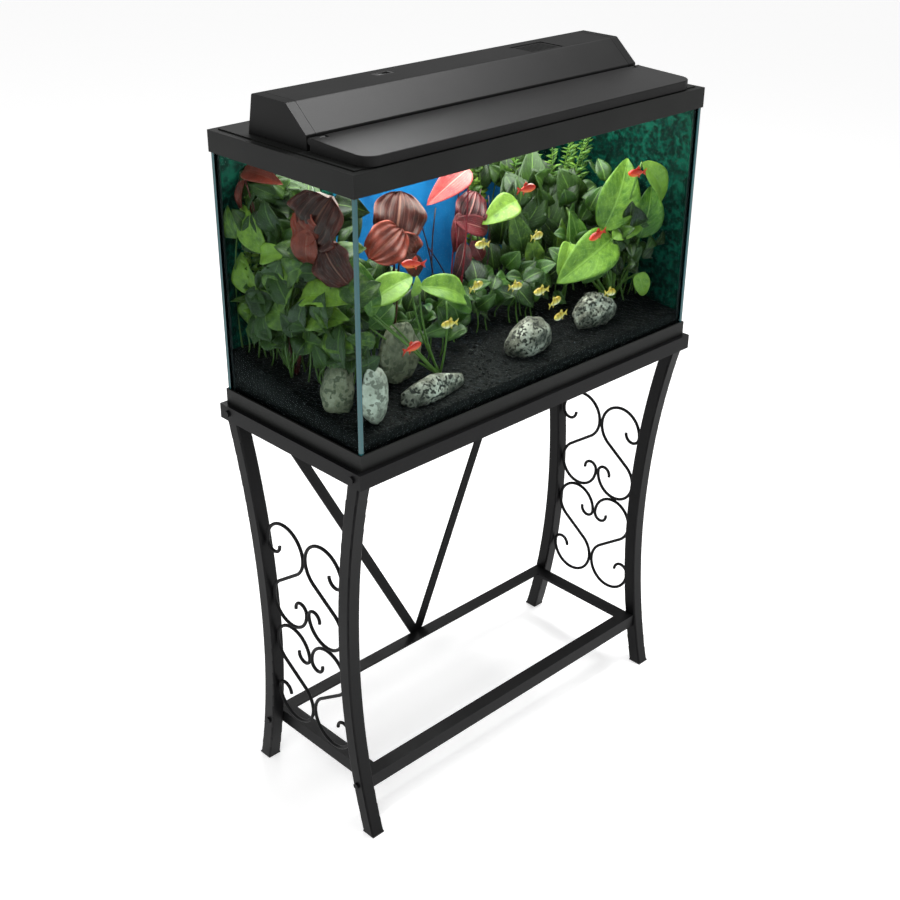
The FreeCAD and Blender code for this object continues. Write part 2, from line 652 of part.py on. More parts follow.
def make_bolt(name, axis, head, nut, y, z, outward):
    """Bolt along an axis: head at one end, nut at the other. head and nut are formulas of place."""
    low, high = (head, nut) if outward < 0 else (nut, head)
    length = "(%s) - (%s)" % (high, low)
    pieces = [("shank", "bolt_diameter / 2", length, low)]
    head_low = "%s - bolt_head_height" % head if outward < 0 else head
    nut_low = nut if outward < 0 else "%s - nut_height" % nut
    pieces.append(("head", "bolt_head / 2", "bolt_head_height", head_low))
    pieces.append(("nut", "bolt_head / 2", "nut_height", nut_low))
    solids = []
    for piece, radius, size, at in pieces:
        x, other = (at, y) if axis == "X" else (y, at)
        solids.append(rod("%s_%s" % (name, piece), radius, size, axis, x, other, z))
    return fuse(name, solids)


def make_bolts():
    top, low = [], []
    for side_name, side in SIDES.items():
        for end_name, end in ENDS.items():
            tag = "%s_%s" % (end_name, side_name)
            outer = "%d * ((%s) / 2 + seat_gap)" % (side, TOP_LENGTH)
            inner = "%d * (%s - tube_size / 2 - 1)" % (side, LEG_TOP_X)
            top.append(make_bolt("top_bolt_" + tag, "X", outer, inner, str(end * BOLT_TOP_Y),
                                 BOLT_TOP_Z, side))
            leg_x = "(%s + (%s) * tan(leg_lean * 1deg))" % (LEG_FOOT_X, BOLT_SHELF_Z)
            outer = "%d * (%s + tube_size / 2 + 0.6)" % (side, leg_x)
            inner = "%d * (%s - angle_wall - seat_gap)" % (side, SHELF_X)
            low.append(make_bolt("low_bolt_" + tag, "X", outer, inner, str(end * BOLT_SHELF_Y),
                                 BOLT_SHELF_Z, side))
    top_out = "tank_depth / 2 + top_margin + seat_gap"
    top_in = "tank_depth / 2 + top_margin - angle_wall - leg_fit / 2 - brace_wall - seat_gap"
    for side_name, side in SIDES.items():
        top.append(make_bolt("brace_bolt_" + side_name, "Y", top_out, top_in,
                             "%d * brace_spread" % side, BRACE_TOP_Z, 1))
    foot_out = "shelf_half_depth + leg_fit / 2 + 2 * brace_wall + seat_gap"
    low.append(make_bolt("brace_bolt_foot", "Y", foot_out, "shelf_half_depth - angle_wall - seat_gap",
                         "0", BRACE_FOOT_Z, 1))
    node(group("top_frame_bolts", top), "top_frame_bolts")
    node(group("lower_frame_bolts", low), "lower_frame_bolts")


# Tank

GLASS_LENGTH = "(tank_length - 2 * frame_wall)"
GLASS_DEPTH = "(tank_depth - 2 * frame_wall)"
INNER_LENGTH = "(%s - 2 * glass)" % GLASS_LENGTH
INNER_DEPTH = "(%s - 2 * glass)" % GLASS_DEPTH
GLASS_LOW = "(stand_height + ledge_height)"
GLASS_TOP = "(%s - frame_wall)" % RIM_TOP
GLASS_HEIGHT = "(%s - %s)" % (GLASS_TOP, GLASS_LOW)
FLOOR_TOP = "(%s + glass_floor)" % GLASS_LOW


def make_panes():
    node(block("glass_bottom", (INNER_LENGTH, INNER_DEPTH, "glass_floor"), GLASS_LOW), "glass_bottom")
    for name, sign in ENDS.items():
        y = "%d * (%s - glass) / 2" % (sign, GLASS_DEPTH)
        node(block("glass_" + name, (GLASS_LENGTH, "glass", GLASS_HEIGHT), GLASS_LOW, ("0", y)),
             "glass_" + name)
    for name, sign in SIDES.items():
        x = "%d * (%s - glass) / 2" % (sign, GLASS_LENGTH)
        node(block("glass_" + name, ("glass", INNER_DEPTH, GLASS_HEIGHT), GLASS_LOW, (x, "0")),
             "glass_" + name)


def make_seams():
    """Three-cornered silicone beads, up the four corners and round the floor."""
    beads = []
    height = "(%s - rim_inner - %s - seam - 1)" % (RIM_TOP, FLOOR_TOP)
    for side_name, side in SIDES.items():
        for end_name, end in ENDS.items():
            x = "%d * %s / 2" % (side, INNER_LENGTH)
            y = "%d * %s / 2" % (end, INNER_DEPTH)
            outline = [(x, y), ("%s - %d * seam" % (x, side), y), (x, "%s - %d * seam" % (y, end))]
            bead = prism("bead_%s_%s" % (end_name, side_name), outline, "XY_Plane", height, False)
            beads.append(place(bead, z="%s + seam" % FLOOR_TOP))
    for end_name, end in ENDS.items():
        y = "%d * %s / 2" % (end, INNER_DEPTH)
        outline = [(y, "0"), ("%s - %d * seam" % (y, end), "0"), (y, "seam")]
        bead = prism("bead_floor_" + end_name, outline, "YZ_Plane", INNER_LENGTH)
        beads.append(place(bead, z=FLOOR_TOP))
    for side_name, side in SIDES.items():
        x = "%d * %s / 2" % (side, INNER_LENGTH)
        outline = [(x, "0"), ("%s - %d * seam" % (x, side), "0"), (x, "seam")]
        bead = prism("bead_floor_" + side_name, outline, "XZ_Plane", "%s - 2 * seam" % INNER_DEPTH)
        beads.append(place(bead, z=FLOOR_TOP))
    return node(group("silicone_seams", beads), "silicone_seams")


def make_bottom_frame():
    outer = block("bottom_frame_outer", ("tank_length", "tank_depth", "frame_height"), "stand_height")
    pocket = block("bottom_frame_pocket", (GLASS_LENGTH, GLASS_DEPTH, "frame_height"), GLASS_LOW)
    window = block("bottom_frame_window", ("%s - 2 * frame_ledge" % GLASS_LENGTH,
                                           "%s - 2 * frame_ledge" % GLASS_DEPTH, "frame_height * 3"),
                   "stand_height - frame_height")
    return node(cut("bottom_frame", outer, [pocket, window]), "bottom_frame")


def make_rim():
    """Outer wall, web over the glass, inner wall and the ledge that carries the hood."""
    outer = block("rim_outer", ("tank_length", "tank_depth", "rim_height"), "%s - rim_height" % RIM_TOP)
    seat = block("rim_seat_cut", ("%s - 2 * frame_wall" % INNER_LENGTH,
                                  "%s - 2 * frame_wall" % INNER_DEPTH, "rim_height"),
                 "%s - rim_seat" % RIM_TOP)
    window = block("rim_window", ("%s - 2 * frame_wall - 2 * rim_ledge" % INNER_LENGTH,
                                  "%s - 2 * frame_wall - 2 * rim_ledge" % INNER_DEPTH, "rim_height * 2"),
                   "%s - 1.5 * rim_height" % RIM_TOP)
    below = block("rim_below", (INNER_LENGTH, INNER_DEPTH, "rim_height"),
                  "%s - rim_height - rim_inner" % RIM_TOP)
    under = block("rim_under", ("%s - 2 * frame_wall" % INNER_LENGTH,
                                "%s - 2 * frame_wall" % INNER_DEPTH, "rim_height"),
                  "%s - rim_height - rim_seat - frame_wall" % RIM_TOP)
    ring = cut("rim_ring", block("rim_slot_outer", (GLASS_LENGTH, GLASS_DEPTH, "rim_height"),
                                 "%s - rim_height - frame_wall" % RIM_TOP),
               [block("rim_slot_inner", (INNER_LENGTH, INNER_DEPTH, "rim_height * 3"),
                      "%s - rim_height * 2" % RIM_TOP)])
    return node(cut("top_rim", outer, [seat, window, below, under, ring]), "top_rim")


def make_background():
    """Printed sheet stuck outside the back pane and folded round the right end."""
    height = "(%s - rim_height - stand_height - frame_height - 2)" % RIM_TOP
    low = "stand_height + frame_height + 1"
    back_y = "(%s / 2 + film_gap + film / 2)" % GLASS_DEPTH
    right_x = "(%s / 2 + film_gap + film / 2)" % GLASS_LENGTH
    back = block("sheet_back", ("%s + film_gap + film" % GLASS_LENGTH, "film", height), low,
                 ("(film_gap + film) / 2", back_y))
    right = block("sheet_right", ("film", "%s + film_gap" % GLASS_DEPTH, height), low,
                  (right_x, "film_gap / 2"))
    return node(fuse("background_sheet", [back, right]), "background_sheet")


def in_tank_y(text):
    """A distance from the front pane's inner face as a place in Y."""
    return "(%s - %s / 2)" % (text, INNER_DEPTH)


def above_floor(text):
    """A height above the floor pane as a place in Z."""
    return "(%s + %s)" % (FLOOR_TOP, text)


def notched(half, top_low, top_high):
    """Section of the bed from -half to half, with its lower corners cut off over the beads."""
    bead = "(seam + gravel_gap)"
    return [("%s - %s" % (half, bead), "gravel_gap"), (half, "gravel_gap + " + bead), (half, top_high),
            ("0 - " + half, top_low), ("0 - " + half, "gravel_gap + " + bead),
            ("0 - %s + %s" % (half, bead), "gravel_gap")]


def make_gravel(bedded):
    """Bed that rises to the back, hollowed for the bedded pieces and clear of the silicone beads."""
    half_x = "(%s / 2 - gravel_gap)" % INNER_LENGTH
    half_y = "(%s / 2 - gravel_gap)" % INNER_DEPTH
    bead = "(seam + gravel_gap)"
    long_way = prism("gravel_side", notched(half_y, "gravel_front", "gravel_back"), "YZ_Plane", INNER_LENGTH)
    across = prism("gravel_front_view", notched(half_x, "2 * gravel_back", "2 * gravel_back"), "XZ_Plane",
                   INNER_DEPTH)
    corners = []
    for x, y in ((1, 1), (-1, 1), (-1, -1), (1, -1)):
        along = ("%d * (%s - %s)" % (x, half_x, bead), "%d * %s" % (y, half_y))
        beside = ("%d * %s" % (x, half_x), "%d * (%s - %s)" % (y, half_y, bead))
        corners += [beside, along] if x * y > 0 else [along, beside]
    plan = prism("gravel_plan", corners, "XY_Plane", "3 * gravel_back", False)
    for body in (long_way, across, plan):
        place(body, z=FLOOR_TOP)
    bed = doc.addObject("Part::MultiCommon", "gravel_whole")
    bed.Shapes = [long_way, across, plan]
    return node(cut("gravel_bed", bed, bedded), "gravel_bed")


def make_stones():
    """Rounded stones that stand in the gravel."""
    stones = []
    for name in STONES:
        stone = doc.addObject("Part::Ellipsoid", name)
        names = ["%s_%s" % (name, letter) for letter in "abcdefg"]
        bind(stone, Radius1=names[5], Radius2=names[3], Radius3=names[4])
        stone.Angle1, stone.Angle2, stone.Angle3 = -90, 90, 360
        turn(stone, FreeCAD.Vector(0, 0, 1), names[6])
        place(stone, names[0], in_tank_y(names[1]), above_floor(names[2]))
        stones.append(node(stone, name))
    return stones


def make_plants():
    """Plain closed stand-ins: an upright stem with its roots in the gravel and an oval crown."""
    stems = []
    for name in PLANTS:
        names = ["%s_%s" % (name, letter) for letter in "abcdefgh"]
        crown = doc.addObject("Part::Ellipsoid", name + "_crown")
        middle, half = in_tank_y(names[3]), names[6]
        if name in DEEP_PLANTS:
            middle, half = "((%s - %s) / 2)" % (names[3], names[6]), "((%s - %s - %s) / 2)" % (
                INNER_DEPTH, names[3], names[6])
        bind(crown, Radius1=names[7], Radius2=names[5], Radius3=half)
        crown.Angle1, crown.Angle2, crown.Angle3 = -90, 90, 360
        place(crown, names[2], middle, above_floor(names[4]))
        root = "(gravel_front + %s / %s * (gravel_back - gravel_front) - %s)" % (
            names[1], INNER_DEPTH, STEM_ROOT)
        stem = rod(name + "_stem", str(STEM_RADIUS), "%s - %s" % (names[4], root), "Z",
                   names[0], in_tank_y(names[1]), above_floor(root))
        stems.append(stem)
        node(fuse(name, [crown, stem]), name)
    return stems


def make_fish(name, places, half):
    fish = []
    for number, (x, y, z, heading) in enumerate(places, 1):
        body = doc.addObject("Part::Ellipsoid", "%s_%d" % (name, number))
        body.Radius1, body.Radius2, body.Radius3 = half[2], half[0], half[1]
        body.Angle1, body.Angle2, body.Angle3 = -90, 90, 360
        body.Placement.Rotation = FreeCAD.Rotation(FreeCAD.Vector(0, 0, 1), heading)
        place(body, str(x), in_tank_y(str(y)), above_floor(str(z)))
        fish.append(body)
    return node(group(name, fish), name)


# Hood

DECK_TOP = "(%s + hood_rise)" % RIM_TOP
SEAT = "(%s - rim_seat)" % RIM_TOP
BASE_LENGTH = "(%s - 2 * frame_wall - 2 * hood_fit)" % INNER_LENGTH
BASE_DEPTH = "(%s - 2 * frame_wall - 2 * hood_fit)" % INNER_DEPTH
HINGE_Y = "(0 - hinge_back)"
HINGE_Z = "(%s + lid_top - barrel)" % RIM_TOP
LAMP_Z = "(%s + lamp_rise)" % RIM_TOP
COVER_TOP = "(%s + cover_height)" % RIM_TOP


def make_hood_base():
    """Tray that drops into the rim: a deck with two long openings and two hinge lugs."""
    height = "(rim_seat + hood_rise)"
    outer = block("base_outer", (BASE_LENGTH, BASE_DEPTH, height), SEAT)
    hollow = block("base_hollow", ("%s - 2 * hood_wall" % BASE_LENGTH, "%s - 2 * hood_wall" % BASE_DEPTH,
                                   "%s - hood_wall" % height), SEAT)
    openings = []
    spans = (("mouth", "0 - mouth_front", "0 - mouth_back"), ("light", "0 - light_front", "light_back"))
    for name, front, back in spans:
        size = ("2 * mouth_half", "(%s) - (%s)" % (back, front), "4 * hood_wall")
        middle = "((%s) + (%s)) / 2" % (back, front)
        openings.append(block("base_" + name, size, "%s - 3 * hood_wall" % DECK_TOP, ("0", middle)))
    deck = cut("base_deck", outer, [hollow] + openings)
    lugs = []
    bore = "pin_radius"
    for name, sign in SIDES.items():
        x = "%d * lug_place" % sign
        foot = block("lug_foot_" + name, ("lug_width", "2 * barrel - 1", "%s - %s" % (HINGE_Z, DECK_TOP)),
                     DECK_TOP, (x, HINGE_Y))
        eye = rod("lug_eye_" + name, "barrel - 0.5", "lug_width", "X", "%s - lug_width / 2" % x,
                  HINGE_Y, HINGE_Z)
        lugs += [foot, eye]
    drill = rod("lug_drill", bore, "3 * lug_place", "X", "0 - 1.5 * lug_place", HINGE_Y, HINGE_Z)
    return node(cut("hood_base", fuse("base_with_lugs", [deck] + lugs), [drill]), "hood_base")


def cover_outline(inset):
    """Section of the light cover, moved in by inset; it is open below."""
    low = "hood_rise + seat_gap" if inset == "0" else "0 - 1"
    slant = "(cover_back - cover_back_top) / cover_height * (%s)" % low
    return [("cover_nose + (%s)" % inset, low), ("cover_back - (%s) - %s" % (inset, slant), low),
            ("cover_back_top - (%s)" % inset, "cover_height - (%s)" % inset),
            ("cover_crest + (%s) * 0.35" % inset, "cover_height - (%s)" % inset),
            ("cover_nose + (%s)" % inset, "nose_height - (%s) * 0.55" % inset)]


def runs_along(edge, y, z):
    """True for an edge parallel to X through (y, z)."""
    return all(abs(v.Y - y) < 1e-6 and abs(v.Z - z) < 1e-6 for v in edge.Vertexes)


def rounded_cover(name, length):
    """Solid of the cover's section, with its crest, back edge and nose rounded."""
    body = prism(name, cover_outline("0"), "YZ_Plane", length)
    corners = (("crest", "cover_crest", "cover_height"), ("back", "cover_back_top", "cover_height"),
               ("nose", "cover_nose", "nose_height"))
    for corner, y, z in corners:
        solid = body.Tip
        edges = edges_where(solid.Shape, lambda e: runs_along(e, read(y), read(z)))
        fillet = body.newObject("PartDesign::Fillet", "%s_%s" % (name, corner))
        fillet.Base = (solid, edges)
        bind(fillet, Radius=corner + "_round")
        doc.recompute()
    return body


def make_cover():
    """Long hood over the lamp: a bent shell with recesses for the vent and for the switch."""
    body = rounded_cover("cover_solid", "(cover_length - 2 * end_band - 2 * band_gap)")
    place(body, z=RIM_TOP)
    hollow = prism("cover_hollow", cover_outline("shell"), "YZ_Plane", "cover_length")
    place(hollow, z=RIM_TOP)
    tools = [hollow]
    top = "%s - recess" % COVER_TOP
    tools.append(block("vent_recess", ("vent_length", "vent_depth", "2 * recess"), top,
                       ("vent_place", "vent_y")))
    tools.append(block("switch_recess", ("switch_length + 0.6", "switch_depth + 0.6", "2 * recess"), top,
                       ("switch_place", "switch_y")))
    pitch = "(vent_length - 2 * vent_edge) / vent_slots"
    for number in range(int(read("vent_slots"))):
        x = "vent_place - vent_length / 2 + vent_edge + (%d + 0.5) * %s" % (number, pitch)
        tools.append(block("vent_slot_%d" % number, ("vent_slot", "vent_depth - 2 * vent_edge", "4 * shell"),
                           "%s - 2 * shell" % COVER_TOP, (x, "vent_y")))
    tools.append(block("switch_cut", ("rocker_length + 3", "rocker_depth + 3", "4 * shell"),
                       "%s - 2 * shell" % COVER_TOP, ("switch_place", "switch_y")))
    tools.append(rod("gland_cut", "gland_neck + seat_gap / 2", "4 * gland_length", "Y", "gland_place",
                     "cover_back_top - gland_length", "%s + gland_rise" % DECK_TOP))
    return node(cut("light_cover", body, tools), "light_cover")


def make_cover_end(side_name):
    """End piece: a narrow band of the same section, closed by the end wall."""
    side = SIDES[side_name]
    name = "cover_end_" + side_name
    body = rounded_cover(name + "_solid", "end_band")
    place(body, "%d * (cover_length - end_band) / 2" % side, "0", RIM_TOP)
    hollow = prism(name + "_hollow", cover_outline("shell"), "YZ_Plane", "end_band")
    place(hollow, "%d * ((cover_length - end_band) / 2 - shell)" % side, "0", RIM_TOP)
    return node(cut(name, body, [hollow]), name)


def lid_section(inset, low):
    """Section of the lid from its hinge forward, moved in by inset."""
    front = "0 - lid_front + (%s)" % inset
    return [(front, low), (HINGE_Y, low), (HINGE_Y, "lid_top - (%s)" % inset),
            (front, "lid_top - lid_fall - (%s)" % inset)]


def rounded_lid(name, inset, low, length):
    body = prism(name, lid_section(inset, low), "YZ_Plane", length)
    front = -read("lid_front") + read(inset)
    corner = edges_where(body.Shape, lambda e: is_upright(e) and abs(e.Vertexes[0].Y - front) < 1e-6)
    solid = body.Tip
    fillet = body.newObject("PartDesign::Fillet", name + "_corners")
    fillet.Base = (solid, corner)
    bind(fillet, Radius="lid_corner - (%s)" % inset)
    doc.recompute()
    return place(body, z=RIM_TOP)


def soften_top(body, name):
    """Round the lid's top along its two ends, its corners and its front."""
    solid = body.Tip
    level = read("lid_top - lid_fall") - 0.01
    edges = edges_where(solid.Shape, lambda e: all(v.Z > level for v in e.Vertexes)
                        and min(v.Y for v in e.Vertexes) < read(HINGE_Y) - 1)
    fillet = body.newObject("PartDesign::Fillet", name)
    fillet.Base = (solid, edges)
    bind(fillet, Radius="lid_round")
    doc.recompute()


def make_lid():
    """Flat lid with down-turned edges and a hinge barrel along its back."""
    low = "hood_rise + seat_gap"
    solid = rounded_lid("lid_solid", "0", low, "cover_length")
    soften_top(solid, "lid_top_round")
    barrel = rod("lid_barrel", "barrel", "cover_length", "X", "0 - cover_length / 2", HINGE_Y, HINGE_Z)
    hollow = rounded_lid("lid_hollow", "shell", "0 - shell", "cover_length - 2 * shell")
    keep = rod("lid_keep", "barrel", "2 * (lug_place - lug_width / 2 - lug_play)", "X",
               "0 - (lug_place - lug_width / 2 - lug_play)", HINGE_Y, HINGE_Z)
    bore = rod("lid_bore", "pin_radius + pin_fit", "cover_length - 2 * shell", "X",
               "0 - (cover_length / 2 - shell)", HINGE_Y, HINGE_Z)
    shellwork = cut("lid_shell", fuse("lid_outer", [solid, barrel]), [hollow])
    gaps = []
    for name, sign in SIDES.items():
        gaps.append(block("lid_gap_" + name, ("lug_width + 2 * lug_play", "4 * barrel", "4 * barrel"),
                          "%s - 2 * barrel - 1" % HINGE_Z, ("%d * lug_place" % sign, HINGE_Y)))
    return node(cut("front_lid", fuse("lid_whole", [shellwork, keep]), gaps + [bore]), "front_lid")


def make_hinge_rod():
    reach = "lug_place + lug_width / 2 + lug_play"
    return node(rod("hinge_rod", "pin_radius - 0.02", "2 * (%s)" % reach, "X", "0 - (%s)" % reach,
                    HINGE_Y, HINGE_Z), "hinge_rod")


def make_splash_guard():
    size = ("2 * (mouth_half + guard_lip)", "light_front + light_back + 2 * guard_lip", "guard_wall")
    middle = ("0", "(light_back - light_front) / 2")
    return node(block("splash_guard", size, DECK_TOP, middle), "splash_guard")


def make_lamp():
    """Glass tube with metal end caps in one piece, two contact pins at each end."""
    parts = [rod("lamp_glass", "lamp_radius", "lamp_length", "X", "0 - lamp_length / 2", "lamp_y", LAMP_Z)]
    for side_name, side in SIDES.items():
        start = "lamp_length / 2 - 1" if side > 0 else "0 - lamp_length / 2 - lamp_pin_length + 1"
        for sign in (-1, 1):
            parts.append(rod("lamp_pin_%s_%d" % (side_name, sign > 0), "lamp_pin", "lamp_pin_length", "X",
                             start, "lamp_y + %d * lamp_pin_pitch / 2" % sign, LAMP_Z))
    return node(fuse("lamp_tube", parts), "lamp_tube")


def make_sockets():
    """Lamp holders hung from the cover's top, with a round recess in which the pins turn."""
    holders = []
    for side_name, side in SIDES.items():
        x = "%d * (lamp_length / 2 + socket_cap + socket_width / 2)" % side
        low = "%s - socket_size / 2" % LAMP_Z
        height = "%s - shell - (%s)" % (COVER_TOP, low)
        body = block("socket_" + side_name, ("socket_width", "socket_size", height), low, (x, "lamp_y"))
        start = "%s - %d * socket_width" % (x, side > 0)
        recess = rod("socket_recess_" + side_name, "lamp_pin_pitch / 2 + lamp_pin + 0.5",
                     "socket_width", "X", start, "lamp_y", LAMP_Z)
        holders.append(cut("socket_cut_" + side_name, body, [recess]))
    return node(group("lamp_sockets", holders), "lamp_sockets")


def make_reflector():
    """Bent sheet held between the sockets: a flat crown and two sides that spread downwards."""
    crown = "lamp_radius + reflector_gap"
    foot = "0 - reflector_drop"
    wall = "reflector_wall"
    outline = [("0 - reflector_half", foot), ("0 - reflector_crown", crown), ("reflector_crown", crown),
               ("reflector_half", foot), ("reflector_half + " + wall, foot),
               ("reflector_crown + " + wall, "%s + %s" % (crown, wall)),
               ("0 - reflector_crown - " + wall, "%s + %s" % (crown, wall)),
               ("0 - reflector_half - " + wall, foot)]
    body = prism("reflector", outline, "YZ_Plane", "lamp_length + 2 * socket_cap")
    return node(place(body, "0", "lamp_y", LAMP_Z), "reflector")


def make_ballast():
    low = "%s - ballast_height - shell" % COVER_TOP
    return node(block("ballast", ("ballast_length", "ballast_depth", "ballast_height"), low,
                      ("0", "ballast_y + ballast_depth / 2")), "ballast")


ROCKER_Z = "(%s - switch_sink)" % COVER_TOP


def make_switch():
    """Frame let into the cover's top and a rocker on an axle that runs from front to back."""
    frame = block("switch_flange", ("switch_length", "switch_depth", "recess - switch_sink - 0.05"),
                  "%s - recess + 0.05" % COVER_TOP, ("switch_place", "switch_y"))
    box_low = "%s - 14" % COVER_TOP
    neck = block("switch_neck", ("rocker_length + 2.6", "rocker_depth + 2.6", "14 - recess + 0.05"), box_low,
                 ("switch_place", "switch_y"))
    well = block("switch_well", ("rocker_length + 2 * rocker_play", "rocker_depth + 2 * rocker_play", "20"),
                 "%s - 12" % COVER_TOP, ("switch_place", "switch_y"))
    bore = rod("switch_bore", "rocker_axle + rocker_axle_fit", "switch_depth", "Y", "switch_place",
               "switch_y - switch_depth / 2", "%s - 4" % ROCKER_Z)
    node(cut("switch_frame", fuse("switch_body", [frame, neck]), [well, bore]), "switch_frame")
    half = "(rocker_length / 2 - 0.8)"
    rise = "%s * tan(rocker_throw * 0.5deg)" % half
    tip = "2 * rocker_play"
    outline = [("0 - " + half, "%s + %s" % (tip, rise)), ("0 - " + half, "0 - 3.2 + " + rise),
               ("0", "0 - 3.4"), (half, "0 - 3.2 - " + rise), (half, "%s - %s" % (tip, rise)), ("0", tip)]
    body = prism("rocker_body", outline, "XZ_Plane", "rocker_depth")
    place(body, "switch_place", "switch_y", "%s - 2.2" % ROCKER_Z)
    axle = rod("rocker_pin", "rocker_axle", "rocker_depth + 2", "Y", "switch_place",
               "switch_y - rocker_depth / 2 - 1", "%s - 4" % ROCKER_Z)
    return node(fuse("rocker_switch", [body, axle]), "rocker_switch")


def make_gland():
    """Moulded bush in the back wall, where the lamp's lead comes out."""
    z = "%s + gland_rise" % DECK_TOP
    neck = rod("gland_tube", "gland_neck", "gland_length", "Y", "gland_place", "cover_back - gland_length", z)
    flange = rod("gland_flange", "gland_radius", "3.5", "Y", "gland_place", "cover_back", z)
    bore = rod("gland_bore_tool", "gland_bore", "3 * gland_length", "Y", "gland_place",
               "cover_back - 2 * gland_length", z)
    return node(cut("cord_gland", fuse("gland_body", [neck, flange]), [bore]), "cord_gland")


def make_stand():
    for end_name in ENDS:
        for side_name in SIDES:
            make_leg(end_name, side_name)
    make_foot_plugs()
    make_frames()
    for side_name in SIDES:
        make_brace(side_name)
        make_scroll_panel(side_name)
    make_bolts()


def make_tank():
    make_bottom_frame()
    make_panes()
    make_seams()
    make_rim()
    make_background()
    make_gravel(make_stones() + make_plants())
    make_fish("red_fish", RED_FISH, RED_FISH_HALF)
    make_fish("barbs", BARBS, BARB_HALF)


def make_hood():
    make_hood_base()
    make_cover()
    for side_name in SIDES:
        make_cover_end(side_name)
    make_lid()
    make_hinge_rod()
    make_splash_guard()
    make_lamp()
    make_sockets()
    make_reflector()
    make_ballast()
    make_switch()
    make_gland()


def check(things):
    """Stop if any object failed, or if a sub-part's shape is missing or not valid."""
    for thing in doc.Objects:
        if "Invalid" in thing.State or "Error" in thing.State:
            raise RuntimeError("%s failed: %s" % (thing.Label, thing.State))
    for thing in things:
        if thing.Shape.isNull() or not thing.Shape.isValid() or not thing.Shape.Solids:
            raise RuntimeError("%s has no valid solid" % thing.Label)


make_stand()
make_tank()
make_hood()
doc.recompute()
check(nodes)
os.makedirs("parts", exist_ok=True)
for thing in nodes:
    thing.Shape.exportStep(os.path.join("parts", thing.Label + ".step"))
print(len(nodes), "sub-parts")
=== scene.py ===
import bpy
import math
import numpy as np
from mathutils import Matrix, Vector


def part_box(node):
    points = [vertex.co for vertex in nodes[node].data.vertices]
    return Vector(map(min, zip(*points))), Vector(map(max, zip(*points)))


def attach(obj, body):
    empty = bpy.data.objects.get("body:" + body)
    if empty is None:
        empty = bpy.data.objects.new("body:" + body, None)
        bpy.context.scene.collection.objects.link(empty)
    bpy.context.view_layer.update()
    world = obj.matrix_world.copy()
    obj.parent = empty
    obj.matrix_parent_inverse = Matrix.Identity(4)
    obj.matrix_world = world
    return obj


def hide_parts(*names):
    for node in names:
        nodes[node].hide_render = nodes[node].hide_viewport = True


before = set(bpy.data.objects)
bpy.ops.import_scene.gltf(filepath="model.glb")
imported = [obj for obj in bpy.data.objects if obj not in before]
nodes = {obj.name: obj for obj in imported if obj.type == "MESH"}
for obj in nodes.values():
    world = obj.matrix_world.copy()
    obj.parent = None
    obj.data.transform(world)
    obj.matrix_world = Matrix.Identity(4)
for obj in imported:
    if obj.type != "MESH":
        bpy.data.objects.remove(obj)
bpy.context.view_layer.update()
print("frame loaded:", len(nodes), "nodes")

tau = 2 * math.pi


def linear(hexColour, alpha=1.0):
    # sRGB hex to the linear values a shader wants
    parts = [int(hexColour[i:i + 2], 16) / 255 for i in (1, 3, 5)]
    return [c / 12.92 if c <= 0.04045 else ((c + 0.055) / 1.055) ** 2.4 for c in parts] + [alpha]


def newMaterial(name):
    mat = bpy.data.materials.new(name)
    mat.use_nodes = True
    tree = mat.node_tree
    tree.nodes.clear()
    return mat, tree


def add(tree, kind, settings=None, links=None):
    # one node: settings are its properties, its sockets' values or a ramp's stops (place, hex or grey),
    # links are what feeds its sockets, a node standing for its first output
    node = tree.nodes.new("ShaderNode" + kind)
    for key, value in (settings or {}).items():
        if key == "stops":
            elements = node.color_ramp.elements
            while len(elements) < len(value):
                elements.new(0.5)
            for element, (place, shade) in zip(elements, value):
                element.position = place
                element.color = linear(shade) if isinstance(shade, str) else (shade, shade, shade, 1)
        elif isinstance(key, str) and hasattr(node, key) and key not in node.inputs:
            setattr(node, key, value)
        else:
            node.inputs[key].default_value = value
    for key, source in (links or {}).items():
        tree.links.new(source.outputs[0] if hasattr(source, "outputs") else source, node.inputs[key])
    return node


def meshPiece(name, verts, faces, mat, body, smooth=True, replaces=(), attributes=None):
    mesh = bpy.data.meshes.new(name)
    mesh.from_pydata(np.asarray(verts, float).reshape(-1, 3).tolist(), [], faces)
    mesh.validate()
    if smooth:
        mesh.polygons.foreach_set("use_smooth", [True] * len(mesh.polygons))
    for key, values in (attributes or {}).items():
        layer = mesh.attributes.new(key, "FLOAT", "POINT")
        layer.data.foreach_set("value", np.asarray(values, np.float32))
    mesh.materials.append(mat)
    obj = bpy.data.objects.new(name, mesh)
    bpy.context.collection.objects.link(obj)
    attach(obj, body)
    if replaces:
        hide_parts(*replaces)
    return obj


def gridFaces(rows, columns, closed=False, start=0):
    # quads of a grid whose points run row by row; closed joins the last column to the first
    r, c = np.meshgrid(np.arange(rows - 1), np.arange(columns if closed else columns - 1), indexing="ij")
    n = (c + 1) % columns
    quads = np.stack([r * columns + c, r * columns + n, (r + 1) * columns + n, (r + 1) * columns + c], -1)
    return (quads.reshape(-1, 4) + start).tolist()


def smoothNoise(points, seed, size):
    # soft random field: a sum of eight sine waves of random direction, wavelength near size
    rng = np.random.default_rng(seed)
    total = np.zeros(points.shape[:-1])
    for _ in range(8):
        direction = rng.normal(size=3)
        direction /= np.linalg.norm(direction)
        total += np.sin(points @ direction * tau / (size * rng.uniform(0.6, 1.5)) + rng.uniform(0, tau))
    return total / 2.8


def joinParts(parts):
    # several (points, faces, attribute dictionary) lists as one
    points, faces, extra, start = [], [], {}, 0
    for verts, quads, values in parts:
        points.append(verts.reshape(-1, 3))
        faces += [[i + start for i in q] for q in quads]
        start += len(points[-1])
        for key, value in values.items():
            extra.setdefault(key, []).append(np.asarray(value, float).reshape(-1))
    return np.concatenate(points), faces, {k: np.concatenate(v) for k, v in extra.items()}


